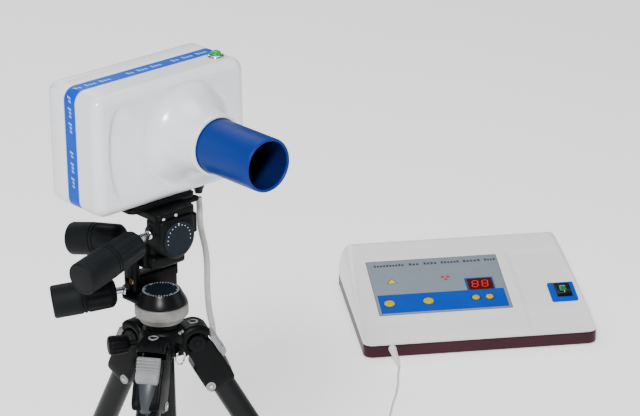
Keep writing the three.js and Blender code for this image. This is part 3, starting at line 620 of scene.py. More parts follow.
button_at = tripod(107, 24.5, TOP)
build("chrome_bezel", lathe(button_at, UP,
    [(-1.5, 6.7), (-1.5, 9), (0.1, 9.2), (0.9, 9.3), (1.6, 9.1), (2.2, 8.5), (2.6, 7.7), (2.7, 7.1),
    (2.3, 6.7), (-1, 6.5)], 64, OPEN), STEEL, "xray_head", ("button_bezel",), sharp=60)
LENS = material("green_lens", "green_button", (0.0, 0.15, 0.012), 0.2, coat=0.15, spec=0.3, vary=0.1,
    blotch=200, grain=900, bump=0.03, glow=(0.0, 0.55, 0.14, 0.35))
build("green_dome", lathe(button_at, UP,
    [(-2, 6.0), (3.0, 6.2), (3.9, 6.15), (4.6, 5.9), (5.6, 5.2), (6.4, 4.1), (7.0, 2.7), (7.3, 1.3),
    (7.35, 0.2)], 48), LENS, "ready_button", ("ready_button",), sharp=60)
build("cable_boot", lathe(tripod(77.8, 25.8, 574.5), -UP,
    [(-2.2, 8.6), (0.6, 8.6), (1.4, 8.2), (1.6, 7), (5, 6.8), (5.6, 6.2), (6.4, 6.2), (7, 5.5),
    (7.8, 5.5), (8.4, 5.0), (9.2, 5.0), (9.8, 4.7), (10.6, 4.7), (11.2, 4.4), (12.8, 4.2), (13.1, 3.6)],
    40), DARK, "xray_head", ("head_cable_gland",), sharp=50, slot="black_plastic")

# ------------------------------------------------------------------ three-way head
RING_TOP = 460.0
BARREL_X, BARREL_Z, BARREL_R = 11.9, 78.3, 24


def over_ring(x, y, h):
    """Millimetres about the tripod's axis, with h above the flat of the grey base ring."""
    return tripod(x, y, RING_TOP + h)


build("plate_casting", pillow(over_ring, -33, 58, 4, 64, 109.3, 114.2, 9, 1.4, both=True), CAST,
    "xray_head", ("camera_plate",))
build("plate_cork_pad", pillow(over_ring, -31, 56, 6, 62, 114.0, 116.1, 8, 0.2), RUBBER, "xray_head")
low = [pillow(over_ring, -12, 41, -16, 40, 99.5, 108.9, 7, 2.2, both=True),
    pillow(over_ring, 28, 41, -18.4, 5, 78, 100.6, 4, 2, both=True),
    pillow(over_ring, 32, 54, 3, 21, 94, 100.6, 4, 1.4, both=True)]
build("holder_tray", join(*low), CAST, "xray_head", ("plate_holder",))


def arch(y, grow, top=101.5):
    """Barrel housing section: flat sided block over a round barrel."""
    r = BARREL_R - grow
    pts = [(BARREL_X + r * cos(t), BARREL_Z + r * sin(t))
        for t in (radians(-180 + 180 * k / 28) for k in range(29))]
    side = [(BARREL_X + r, BARREL_Z + (top - BARREL_Z - 4) * k / 5) for k in range(1, 6)]
    cap = [(BARREL_X + r - 4 + 4 * cos(t), top - 4 + 4 * sin(t))
        for t in (radians(90 * k / 4) for k in range(1, 5))]
    cap2 = [(2 * BARREL_X - x, z) for x, z in reversed(cap)]
    side2 = [(2 * BARREL_X - x, z) for x, z in reversed(side)]
    return [over_ring(x, y, z) for x, z in pts + side + cap + cap2 + side2]


build("barrel_housing", loft([arch(5.7, 1.5), arch(5.7, 0.8), arch(5, 0), arch(-16, 0), arch(-18.4, 0.8),
    arch(-19.6, 2.2), arch(-20, 4.5)]), CAST, "xray_head", sharp=40)
for i, z in enumerate((97.6, 95.4, 93.2)):
    build(f"barrel_rib_{i + 1}", pillow(lambda a, b, h: over_ring(a, -20 - h, b), BARREL_X - 15,
        BARREL_X + 17, z - 0.55, z + 0.55, -0.4, 0.45, 0.5, 0.3), CAST, "xray_head")
NAVY = material("dial_navy", "black_plastic", (0.004, 0.008, 0.013), 0.4, vary=0.12, blotch=80, grain=900,
    bump=0.08, spec=0.1)
build("tilt_dial", lathe(over_ring(BARREL_X, -19.6, BARREL_Z), FORWARD,
    [(0, 19.9), (1.3, 19.8), (1.8, 19.3), (1.8, 18.6), (1.45, 18.3), (1.45, 0.2)], 72), NAVY, "xray_head")
MARK = material("dial_marks", "panel_grey", (0.62, 0.64, 0.66), 0.5, vary=0.1, blotch=300, grain=900,
    bump=0.1)
dots = []
for k in range(13):
    a = radians(-12 + 17 * k)
    dots.append(lathe(over_ring(BARREL_X + 15.6 * cos(a), -21.0, BARREL_Z + 15.6 * sin(a)), FORWARD,
        [(0, 0.55), (0.18, 0.55), (0.24, 0.4), (0.24, 0.05)], 12))
dots.append(lathe(over_ring(BARREL_X, -20.9, BARREL_Z + 17.4), FORWARD,
    [(0, 0.85), (0.22, 0.8), (0.26, 0.1)], 12))
build("tilt_dial_marks", join(*dots), MARK, "xray_head")
build("tilt_flange", lathe(over_ring(BARREL_X, 6.4, BARREL_Z), BACK,
    [(0, 15.4), (0.6, 15.9), (6, 15.9), (8.6, 15.8), (9.5, 15), (9.5, 0.3)], 64), CAST, "front_tilt",
    ("tilt_body",), sharp=40)
lug = [pillow(over_ring, -3.8, 27.8, 6.8, 20.4, 44.2, 77.8, 5, 2.4, both=True),
    pillow(over_ring, -8.8, 37.2, 14.2, 45.8, 36.2, 65.8, 6, 2.8, both=True),
    pillow(over_ring, -8.8, 37.2, 0.2, 14.8, 38.4, 53.4, 4, 3.6, both=True)]
build("tilt_lug", join(*lug), CAST, "front_tilt")
tower = [pillow(over_ring, -19.8, -9.7, 21, 42.8, 16, 61.2, 4.5, 3.6, both=True),
    pillow(over_ring, 38.2, 41.8, 21, 42.8, 16, 61.2, 1.7, 1.5, both=True),
    pillow(over_ring, -19.8, 41.8, 21, 42.8, 1.2, 27, 5, 3, both=True),
    pillow(over_ring, -26.8, -1, 2.2, 39.8, 0.5, 7.9, 6, 2.4, both=True),
    pillow(over_ring, -17, 22, 2, 36, 0.6, 11.2, 8, 2, both=True)]
build("tower_casting", join(*tower), CAST, "pan", ("pan_tower",))
SHINE = material("dome_black", "black_casting", (0.0030, 0.0035, 0.0042), 0.30, vary=0.2, blotch=60,
    grain=900, bump=0.06, spec=0.14)
build("pan_dome", lathe(over_ring(0, 0, 0), UP,
    [(0.4, 28.3), (2, 29), (4, 28.2), (7, 26.6), (10, 24.9), (13, 23.2), (14.6, 22.4), (15.2, 22),
    (15.5, 21.8), (15.5, 21.5), (15.2, 21.4), (15.2, 0.2)], 96), SHINE, "pan", sharp=40)
build("pan_dial", lathe(over_ring(0, 0, 0), UP, [(15.15, 21.3), (15.45, 21.1), (15.45, 0.2)], 72), NAVY,
    "pan")
ticks = []
for k in range(40):
    a, r0, r1 = 2 * pi * k / 40, 18.4 if k % 5 else 16.8, 20.6
    c, s = cos(a), sin(a)
    ring = [[over_ring(r * c - w * s, r * s + w * c, h) for r,
        w in ((r0, -0.3), (r1, -0.3), (r1, 0.3), (r0, 0.3))] for h in (15.4, 15.56)]
    ticks.append(loft(ring))
build("pan_dial_ticks", join(*ticks), MARK, "pan")
for name, x, side, mat in (("left", -19.6, -1, BRASS), ("right", 41.6, 1, CAST)):
    build(f"tower_screw_{name}",
        lathe(over_ring(x, 31, 50), Vector((side, 0, 0)),
        [(-0.4, 5.2), (0.8, 5.2), (1.3, 4.8), (1.3, 3.2), (0.5, 2.9), (0.5, 0.1)], 32), mat, "pan",
        slot="black_casting")
build("tower_bronze_screw",
    lathe(over_ring(-19.7, 27, 22), Vector((-1, 0, 0)),
    [(-0.3, 3.6), (0.6, 3.6), (1, 3.2), (1, 1.9), (0.3, 1.7), (0.3, 0.1)], 32), BRASS, "pan",
    slot="black_casting")
build("grey_base_ring", lathe(over_ring(0, 0, -20), UP,
    [(0, 23), (0.5, 24.4), (2, 25.2), (4.2, 26.6), (6.4, 28.6), (7.6, 29.6), (8.6, 29.95), (12, 29.95),
    (18.4, 29.9), (19.3, 29.5), (19.8, 28.6), (19.8, 26)], 96), AGED, "column", ("base_ring",), sharp=40)
v, f = pillow(over_ring, 43.2, 65, 6.5, 17.5, 101.3, 106, 4.6, 1.2, both=True)
v2, f2 = lathe(over_ring(47, 12, 0), UP, [(93, 3.8), (93.4, 4.1), (101.6, 4.1), (106, 4.1), (108.4, 3.6),
    (108.5, 0.2)], 24)
build("release_lever_arm", join((v, f), (v2, f2)), CAST, "quick_release", ("release_lever",))
build("holder_pin", lathe(over_ring(50, 3.2, 97.2), FORWARD,
    [(-3, 2.2), (0.2, 2.2), (0.8, 1.9), (0.8, 0.9), (0.2, 0.8), (0.2, 0.1)], 20), STEEL, "xray_head")
for i, (x, z) in enumerate(((-5, 103.6), (12, 104.4))):
    build(f"holder_screw_{i + 1}",
        lathe(over_ring(x, -15.8, z), FORWARD,
        [(-1, 2.1), (0.6, 2.1), (1.0, 1.7), (1.0, 0.9), (0.4, 0.8), (0.4, 0.1)], 20), STEEL, "xray_head")


def fluted(at, axis, profile, lobes=12, seg=72):
    """Turned shape with shallow lengthwise flutes: profile rows are (distance, radius, flute depth)."""
    side = axis.orthogonal().normalized()
    other = axis.cross(side)
    rings = []
    for d, rr, g in profile:
        row = []
        for k in range(seg):
            t = 2 * pi * k / seg
            q = rr - g * (0.5 + 0.5 * cos(lobes * t)) ** 3
            row.append(at + (axis * d + (side * cos(t) + other * sin(t)) * q) / 1000)
        rings.append(row)
    return loft(rings)


def grip(node, body, at, axis, rod, total, small, big, collar=0.0):
    """Lever: bare steel rod with a domed collar, and a fluted grip with two ring grooves and a flat end."""
    axis = axis.normalized()
    prof = [(-0.2, 3.7), (collar, 3.8), (collar + 0.3, 5.2), (collar + 1.4, 6.0), (collar + 2.6, 6.0),
        (collar + 3.8, 5.0), (collar + 4.2, 3.9), (rod + 2, 3.8)]
    build(f"{node}_rod", lathe(at, axis, prof, 32), STEEL, body, (node,), sharp=50)
    mid = rod + (total - rod) * 0.5
    prof = [(rod, 4.2, 0), (rod + 0.6, small - 7.5, 0), (rod + 2.4, small - 4, 0.2),
        (rod + 5, small - 1.2, 0.5), (rod + 7, small - 0.2, 0.9), (rod + 9, small, 1.2),
        (mid - 8, small + (big - small) * 0.6, 1.2), (mid - 4.6, small + (big - small) * 0.7, 0.9),
        (mid - 3.6, big - 0.5, 0), (mid - 3, big - 0.4, 0), (mid - 2.6, big - 1.4, 0),
        (mid - 1.4, big - 1.4, 0), (mid - 1, big - 0.3, 0), (mid + 1.6, big - 0.2, 0),
        (mid + 2, big - 1.2, 0), (mid + 3.2, big - 1.2, 0), (mid + 3.6, big - 0.1, 0), (mid + 9, big, 0),
        (total - 3, big, 0), (total - 1.4, big - 0.5, 0), (total - 0.5, big - 1.5, 0),
        (total - 0.2, big - 2.8, 0), (total - 0.6, big - 3.4, 0), (total - 0.4, big - 4.4, 0),
        (total - 0.2, 0.3, 0)]
    build(f"{node}_grip", fluted(at, axis, prof), GRIP, body, sharp=50)


grip("side_tilt_handle", "side_tilt_lock", over_ring(-9, -0.6, 85.5), Vector((-0.974, -0.165, -0.154)),
    24, 115.8, 16.8, 18.5, 4.4)
grip("front_tilt_handle", "front_tilt_lock", over_ring(-1, 47.5, 61.5), Vector((-0.366, 0.917, -0.156)),
    10, 79, 16.8, 18.5)
grip("pan_handle", "pan_lock", over_ring(-24, 31, 13), Vector((-0.826, 0.551, -0.12)), 11, 83.2, 17.5, 18.5)
build("side_lock_boss", lathe(over_ring(-11.4, -0.9, 85.2), Vector((-1, 0, 0)),
    [(-1, 9), (1.2, 9), (1.8, 8.4), (1.8, 6.8)], 32), CAST, "xray_head")

# ------------------------------------------------------------------ tripod
TILT = radians(28.4)
LEG_ANGLES = (-144.5, -24.5, 95.5)
HINGE_R, HINGE_Z, FOOT = 35.2, 411.6, 453.1
KNOB_Z, HOOK_R = 414.6, 30
build("column_tube", lathe(tripod(0, 0, 0), UP,
    [(170, 10), (170.6, 11.4), (172, 12), (300, 12), (420, 12), (434, 12), (434.4, 18.4), (435, 19),
    (439, 19), (439.6, 18.6), (439.7, 15)], 64), TUBE, "column", ("center_column",), sharp=50)
build("column_collar_ribs",
    lathe(tripod(0, 0, 0), UP, [(433.8, 19.2), (434.2, 20.2), (435.2, 20.2), (435.6, 19.4), (436.2, 19.4),
    (436.6, 20.4), (437.8, 20.4), (438.2, 19.6), (438.8, 19.6), (439.2, 20.6), (440.2, 21.2)], 72), CAST,
    "column", sharp=40, slot="tube_black")
build("crown_casting", lathe(tripod(0, 0, 0), UP,
    [(400, 12.4), (400, 20.6), (400.8, 22), (403, 24.4), (406, 25.3), (418, 25.9), (423, 25.6),
    (427, 24.4), (430, 22.6), (431.6, 20.8), (432, 19), (431.6, 12.4)], 96, OPEN), CAST, "stand_frame",
    ("shoulder",), sharp=40)


def leg_frame(angle):
    """Place function of a leg: s down its axis, w sideways, n outward, from its hinge."""
    a = radians(angle)
    rad = Vector((cos(a), sin(a), 0))
    tan = Vector((-sin(a), cos(a), 0))
    down = rad * sin(TILT) - UP * cos(TILT)
    out = rad * cos(TILT) + UP * sin(TILT)
    hinge = tripod(HINGE_R * cos(a), HINGE_R * sin(a), HINGE_Z)
    return (lambda s, w, n: hinge + (down * s + tan * w + out * n) / 1000), tan, down, out


def section(w, n0, n1, r, dep, lip=3.2, edge=2.2):
    """Closed section of a leg casting: round corners and a sunk face between two raised edges."""
    pts = []
    for cw, cn, start in ((w - r, n0 + r, -90), (w - edge, n1 - edge, 0)):
        rr = r if start < 0 else edge
        for k in range(6):
            t = radians(start + 90 * k / 5)
            pts.append((cw + rr * cos(t), cn + rr * sin(t)))
    pts += [(w - lip, n1), (w - lip - 0.9, n1 - dep)]
    flat = [(w * 0.45, n1 - dep * 0.8), (0, n1 - dep * 0.7)]
    half = pts + flat
    return half + [(-x, y) for x, y in reversed(half[:-1])]


for n, angle in enumerate(LEG_ANGLES, 1):
    on_leg, tan, down, out = leg_frame(angle)
    leg = f"leg_{n}"
    # The round head's sections sweep about the hinge from the inner side over the top to the face
    rings = []
    for k in range(23):
        t = radians(200 - 196 * k / 22)
        c, sine = cos(t), sin(t)
        rr = 20.8 if k < 22 else 19
        ring = []
        for side_w, out_n in section(16.5, -10, 0, 4, 0.2, 5.4, 5):
            q = rr + out_n
            ring.append(on_leg(-q * sine, side_w, q * c))
        rings.append(ring)
    v, f = loft(rings)
    body_rings = []
    for s, w, n0, n1, r, dep in ((5, 15.6, -14, 15.0, 4, 0.6), (9, 16.3, -15.1, 14.4, 4, 0.8),
            (14, 16.5, -15.2, 14.1, 4, 0.9), (20, 16.5, -15.3, 14.1, 4, 0.9),
            (22.4, 16.5, -16, 14.6, 4, 0.9), (25, 16.5, -18.6, 15.8, 5, 0.9),
            (28, 16.5, -19.4, 16.2, 5, 0.9), (40, 16.5, -19.5, 16.2, 5, 0.9),
            (52, 16.4, -19.5, 16.2, 5, 0.9), (57, 16.1, -19, 15.9, 5, 0.6),
            (60.4, 15.5, -18.2, 15.2, 5, 0.3), (62, 14.8, -17.4, 14.4, 5, 0.1),
            (62.6, 14.2, -16, 13.8, 4, 0.0)):
        body_rings.append([on_leg(s, a, b) for a, b in section(w, n0, n1, r, dep)])
    v2, f2 = loft(body_rings)
    build(f"leg_casting_body_{n}", join((v, f), (v2, f2)), CAST, leg, (f"leg_casting_{n}",), sharp=34)
    # tapered nose below the latch, in a grey copy of the black casting: painted sheen
    nose = []
    for s, w, h in ((33, 12.4, 18.6), (36, 12.2, 19.2), (46, 10.6, 18.6), (56, 8.6, 17.2),
            (63, 7.0, 15.6), (66, 6.0, 13.6), (66.6, 5.2, 12)):
        nose.append([on_leg(s, w * cos(t), 10 + (h - 10) * sin(t))
            for t in (pi * k / 16 for k in range(17))])
    build(f"leg_nose_{n}", loft(nose), NOSE_SHEEN, leg, sharp=50)
    # latch: four ridges above a smooth thumb swell
    prof = [(4, 16.4), (4.3, 19.6), (5.2, 21.2)]
    for k in range(4):
        b = 6.0 + 3.4 * k
        prof += [(b, 21.4), (b + 0.5, 22.6), (b + 1.2, 23.1), (b + 2.0, 22.9), (b + 2.5, 21.9),
            (b + 2.9, 21.4)]
    prof += [(20.0, 21.6), (22, 22.6), (25, 23.5), (28, 23.3), (31, 21.9), (33, 19.6), (33.9, 17.6),
        (34, 16.2)]
    rings = []
    for s, h in prof:
        w = 13 - 0.5 * exp(-((s - 4) / 1.5) ** 2) - 1.2 * exp(-((s - 34) / 2.5) ** 2)
        top = []
        for t in (pi / 2 * k / 5 for k in range(6)):
            top.append((w - 2.2 + 2.2 * cos(t), max(h - 2.2, 15.6) + min(2.2, max(h - 15.6, 0.2)) * sin(t)))
        sway = [(w * 0.5, h + 0.25), (0, h + 0.35)]
        half = [(w, 15.5)] + top + sway
        rings.append([on_leg(s, a, b) for a, b in half + [(-x, y) for x, y in reversed(half[:-1])]])
    build(f"leg_latch_cap_{n}", loft(rings), LATCH, f"leg_latch_{n}", (f"leg_latch_{n}",), sharp=34)
    bolt_at, bolt_axis = on_leg(-17.9, 0, 9.3), down * -0.88 + out * 0.47
    # hinge caps and screws
    for side in (-1, 1):
        end = f"{n}{'ab'[side > 0]}"
        build(f"leg_pivot_cap_{end}",
            lathe(on_leg(0, side * 16.2, 0), tan * side,
            [(0, 9.5), (0.45, 9.3), (0.6, 8.8), (0.6, 4.8), (0.35, 4.6), (0.35, 3.8), (0.9, 3.5),
            (0.9, 0.2)], 40), CAST, leg)
        build(f"leg_clamp_boss_{end}",
            lathe(on_leg(54.5, side * 16.0, -13.6), tan * side,
            [(-1, 5.6), (0.6, 5.5), (1.2, 4.9), (1.2, 3.1), (0.5, 2.9), (0.5, 0.2)], 32), LATCH, leg)
        build(f"leg_clamp_screw_{end}",
            lathe(on_leg(54.5, side * 16.7, -13.6), tan * side,
            [(-0.4, 2.6), (0.3, 2.5), (0.7, 2.0), (0.7, 1.1), (0.1, 1.0), (0.1, 0.1)], 6), STEEL, leg,
            sharp=30)
    build(f"leg_head_bolt_{n}",
        lathe(bolt_at, bolt_axis,
        [(-0.6, 5.8), (0.5, 5.7), (0.8, 5.2), (0.8, 4.2), (0.1, 3.9), (0.1, 0.2)], 36), LATCH, leg)
    build(f"leg_head_socket_{n}", lathe(bolt_at, bolt_axis, [(0.0, 2.2), (0.35, 2.1), (0.35, 0.1)], 6),
        DARK, leg, sharp=30, slot="black_plastic")
    # upper tube with its collar, lower tube and foot
    build(f"upper_leg_tube_{n}",
        lathe(on_leg(0, 0, 0), down, [(60, 13.5), (63, 13.5), (120, 13.5), (200, 13.5), (317, 13.5)], 56),
        TUBE, leg, (f"upper_tube_{n}",), sharp=50)
    prof = [(316, 13.6), (316, 15.6), (317, 16.3), (319, 16.5)]
    for k in range(7):
        b = 320.4 + 2.2 * k
        prof += [(b, 16.5), (b + 0.4, 16.0), (b + 1.0, 16.0), (b + 1.4, 16.5)]
    prof += [(337, 16.5), (341, 16.3), (342.6, 15.4), (343, 14.2), (342.6, 10.5)]
    build(f"leg_collar_{n}", lathe(on_leg(0, 0, 0), down, prof, 56, OPEN), BLACK, leg, sharp=30)
    build(f"lower_leg_tube_{n}",
        lathe(on_leg(0, 0, 0), down, [(120, 9), (121, 10), (200, 10), (330, 10), (436, 10)], 48),
        GREY_TUBE, f"lower_leg_{n}", (f"lower_tube_{n}",), sharp=50)
    prof = [(434, 10.2), (434.2, 11.6), (435.2, 12.2), (437, 12.4), (437.6, 11.9), (438.4, 11.9),
        (439, 12.5), (441, 12.6), (441.6, 12.0), (442.4, 12.0), (443, 12.7), (447, 12.9)]
    prof += [(FOOT + 13 * sin(q), max(13 * cos(q), 0.2))
        for q in (radians(-20 + 110 * k / 12) for k in range(13))]
    build(f"foot_rubber_{n}", lathe(on_leg(0, 0, 0), down, prof, 48), RUBBER, f"lower_leg_{n}",
        (f"rubber_foot_{n}",), sharp=30)
KNOB_ANGLE = radians(153)
knob_dir = Vector((cos(KNOB_ANGLE), sin(KNOB_ANGLE), 0))
side = knob_dir.cross(UP)
v, f = lathe(tripod(0, 0, KNOB_Z), knob_dir, [(24, 4), (38, 4)], 24)
rings = []
for d, r, lobes in ((38, 6.6, 0), (38.3, 7.8, 0.1), (40, 9.4, 0.5), (42.5, 10.3, 0.9), (50, 11.0, 0.9),
        (57, 11.4, 0.8), (59.4, 11.0, 0.5), (61, 9.9, 0.2), (61.8, 8, 0), (62, 5, 0), (61.6, 4.4, 0),
        (61.6, 0.3, 0)):
    rings.append([tripod(0, 0,
        KNOB_Z) + (knob_dir * d + (side * cos(t) + UP * sin(t)) * (r - lobes * (0.5 + 0.5 * cos(9 * t))))
        / 1000 for t in around(72)])
build("column_knob_grip", join((v, f), loft(rings)), BLACK, "column_lock", ("column_knob",), sharp=40)
HOOK_ANGLE = radians(-89.4)
hook_out, hook_along = Vector((cos(HOOK_ANGLE), sin(HOOK_ANGLE), 0)), Vector((-sin(HOOK_ANGLE),
    cos(HOOK_ANGLE), 0))
hook_centre = tripod(HOOK_R * cos(HOOK_ANGLE), HOOK_R * sin(HOOK_ANGLE), 402.2)
path = []
for k in range(49):
    t = 2 * pi * k / 48
    path.append(hook_centre + (hook_along * (6.2 * cos(t) * (1 + 0.12 * sin(t))) + UP * (7.8 * sin(t)))
        / 1000)
build("hook_wire", tube(path, 1.05, 14, OPEN), STEEL, "stand_frame", ("hook_ring",), sharp=60)
build("hook_lug", pillow(lambda a, b,
    h: tripod(0, 0, 0) + (hook_out * a + hook_along * h) / 1000 + Vector((0, 0, b / 1000)), 22, 34, 405.4,
    418, -2.5, 2.5, 4, 0.8, both=True), CAST, "stand_frame")
for k, (angle, z) in enumerate(((-60, 428.2), (-74, 428.4))):
    r = radians(angle)
    build(f"crown_screw_{k + 1}",
        lathe(tripod(23.2 * cos(r), 23.2 * sin(r), z), Vector((cos(r) * 0.5, sin(r) * 0.5, 0.86)),
        [(-0.6, 2.3), (0.4, 2.2), (0.8, 1.7), (0.8, 0.9), (0.2, 0.8), (0.2, 0.1)], 20), LATCH,
        "stand_frame", slot="chrome")

# ------------------------------------------------------------------ console
DESK_BACK = turned((0, 1, 0), desk)
WIDTH, DEPTH = 338.2, 287.6


def ring_n(d, r, nx, ny, seg=8):
    """Console outline drawn in by d with a fixed number of points."""
    a0, a1, b0, b1 = d, WIDTH - d, d, DEPTH - d
    pts, centres = [], [(a1 - r, b1 - r, 0, nx), (a0 + r, b1 - r, 90, ny), (a0 + r, b0 + r, 180, nx),
        (a1 - r, b0 + r, 270, ny)]
    for c, (plug_at, cb, start, n) in enumerate(centres):
        arc = [(plug_at + r * cos(radians(start + 90 * k / seg)),
            cb + r * sin(radians(start + 90 * k / seg))) for k in range(seg + 1)]
        na, nb, nstart, _ = centres[(c + 1) % 4]
        end = (na + r * cos(radians(nstart)), nb + r * sin(radians(nstart)))
        pts += arc + [(arc[-1][0] + (end[0] - arc[-1][0]) * k / n,
            arc[-1][1] + (end[1] - arc[-1][1]) * k / n) for k in range(1, n)]
    return pts


def smooth_min(a, b, k):
    """The lesser of a and b, rounded where they are closer than k."""
    return min(a, b) - max(k - abs(a - b), 0) ** 2 / (4 * k)


def sunk(x, y):
    """The switch stands in a shallow field; its left and rear edges are soft creases."""
    return 1.5 * smoothstep((x - 242 - 0.12 * (246 - y) * (y > 222)) / 8) * (1
        - smoothstep((y - 216 - 0.05 * (x - 250)) / 7))


def cover_h(d, y):
    """Height of the cover at a distance d from its rim: upright wall, rolled edge, sloping top."""
    t = min(max(d - 0.8, 0) / 20, 1)
    wall = 22 + 10 * min(d / 0.8, 1) + 8 * min(d / 6, 1) + 40 * sqrt(1 - (1 - t) ** 2) * (0.35 + 0.65 * t)
    top = RIM + SLOPE * y - 2 * (max(38 - y, 0) / 38) ** 2 - 0.9 * smoothstep((64 - y) / 12)
    return max(smooth_min(wall, top, 14), 19.3)


NX, NY, LAST, CORNER = 52, 44, 26.0, 14
rings = [[desk(x, y, z) for x, y in ring_n(d, CORNER - d, NX, NY)] for z,
    d in ((19.2, 2.4), (18.9, 1.4), (18.8, 0.5), (19.0, 0.05))]
for d in (0, 0.2, 0.4, 0.6, 0.8, 1.4, 2.2, 3.2, 4.4, 5.8, 7.2, 8.8, 10.6, 12.6, 15, 17.5, 20, 23, LAST):
    r = CORNER - d if d < 7 else 7 * (LAST - d) / (LAST - 7)
    rings.append([desk(x, y, cover_h(d, y) - sunk(x, y) * smoothstep(d / 20)) for x,
        y in ring_n(d, max(r, 0.001), NX, NY)])
v, f = loft(rings, OPEN)
xs = [LAST + (WIDTH - 2 * LAST) * k / NX for k in range(NX + 1)]
ys = [LAST + (DEPTH - 2 * LAST) * k / NY for k in range(NY + 1)]
xs = sorted(xs + [242 + k for k in range(0, 11, 2)])
v2 = [desk(x, y, cover_h(LAST, y) - sunk(x, y)) for y in ys for x in xs]
f2 = [(j * len(xs) + i, j * len(xs) + i + 1, (j + 1) * len(xs) + i + 1, (j + 1) * len(xs) + i)
    for j in range(len(ys) - 1) for i in range(len(xs) - 1)]


def windowed(verts, faces, x0, x1, z0, z1):
    """Cut the opening of the socket recess out of the rear wall."""
    bm = bmesh.new()
    made = [bm.verts.new(p) for p in verts]
    for face in faces:
        bm.faces.new([made[i] for i in face])
    origin, ex, ey = desk(0, 0, 0), turned((1, 0, 0), desk), DESK_BACK

    def rear(face):
        p = face.calc_center_median() - origin
        return p.dot(ex) * 1000, p.dot(ey) * 1000, p.z * 1000

    for at, normal in ((desk(x0, 0, 0), ex), (desk(x1, 0, 0), ex), (desk(0, 0, z0), UP),
            (desk(0, 0, z1), UP)):
        near = [q for q in bm.faces if rear(q)[1] > 262 and x0 - 12 < rear(q)[0] < x1 + 12]
        geom = near + list({e for q in near for e in q.edges}) + list({w for q in near for w in q.verts})
        bmesh.ops.bisect_plane(bm, geom=geom, plane_co=at, plane_no=normal, dist=1e-7)
    gone = [q for q in bm.faces if rear(q)[1] > 262 and x0 < rear(q)[0] < x1 and z0 < rear(q)[2] < z1]
    bmesh.ops.delete(bm, geom=gone, context="FACES")
    bm.verts.index_update()
    result = [w.co.copy() for w in bm.verts], [tuple(w.index for w in q.verts) for q in bm.faces]
    bm.free()
    return result


# console cover in the brighter copy of the housing white: painted light
build("console_cover_moulding", windowed(*join((v, f), (v2, f2)), 112.3, 211.7, 23.3, 56.7), WHITE_PAINTED_LIGHT,
    "stand_frame", ("console_cover",), sharp=55)
rings = [[desk(x, y, z) for x, y in ring_n(d, CORNER - d, NX, NY)] for z,
    d in ((0, 5), (0, 2.2), (0.3, 1.2), (1.0, 0.4), (2.0, 0.05), (6, 0), (15.4, 0), (16.6, 0.05),
    (17.6, 0.35), (18.1, 0.9), (18.3, 1.8), (18.3, 6))]
build("console_base_moulding", loft(rings), MAROON, "stand_frame", ("console_base",), sharp=50)
PANEL = material("panel_overlay", "panel_grey", (0.20, 0.235, 0.28), 0.42, vary=0.03, blotch=40,
    grain=1800, bump=0.12, depth=0.05, rough_vary=0.05, spec=0.2)
FIELD = material("panel_blue", "panel_grey", (0.0, 0.055, 0.42), 0.4, vary=0.04, blotch=40, grain=1800,
    bump=0.10, depth=0.05, spec=0.1)
INK = material("printed_ink", "panel_grey", (0.025, 0.025, 0.03), 0.5, vary=0.1, blotch=200, grain=1800,
    bump=0.05)
RED = material("printed_red", "panel_grey", (0.42, 0.012, 0.02), 0.5, vary=0.08, blotch=200, grain=1800,
    bump=0.05)
YELLOW = material("printed_yellow", "panel_grey", (0.75, 0.55, 0.02), 0.45, vary=0.05, blotch=200,
    grain=1800, bump=0.05)
KEY = material("key_yellow", "key_yellow", (0.50, 0.40, 0.0), 0.35, vary=0.05, blotch=90, grain=1500,
    bump=0.12, spec=0.2)
WINDOW = material("display_window", "display_red", (0.06, 0.002, 0.003), 0.14, vary=0.15, blotch=60,
    grain=700, bump=0.02, coat=0.1, spec=0.2)
LIT = material("display_segment", "display_red", (0.40, 0.008, 0.008), 0.35, vary=0.1, blotch=300,
    grain=900, bump=0.05, glow=(1.0, 0.03, 0.02, 0.35))
PLATE = material("switch_plate_blue", "blue_band", (0.0, 0.055, 0.42), 0.38, vary=0.05, blotch=60,
    grain=1500, bump=0.10, spec=0.1)
ROCK = material("rocker_black", "rocker_black", (0.003, 0.0035, 0.0035), 0.22, vary=0.2, blotch=90,
    grain=1200, bump=0.05, coat=0.1, spec=0.3)
LAMP = material("rocker_lamp", "green_button", (0.005, 0.12, 0.05), 0.25, vary=0.4, blotch=260, grain=900,
    bump=0.1, glow=(0.0, 0.5, 0.2, 0.10))


def flat(name, shapes, h0, h1, mat):
    """Printed marks: polygons in mm on the slope, joined in one thin piece."""
    parts = []
    for pts in shapes:
        parts.append(loft([[slope(x, y, h) for x, y in pts] for h in (h0, h1)]))
    build(name, join(*parts), mat, "stand_frame", sharp=30)


def rect(x0, x1, y0, y1):
    """Corners of a rectangle."""
    return [(x1, y1), (x0, y1), (x0, y0), (x1, y0)]


def disc(x, y, r, n=28, start=0):
    """Regular polygon of n corners, the first of them at `start` degrees."""
    return [(x + r * cos(t + radians(start)), y + r * sin(t + radians(start))) for t in around(n)]


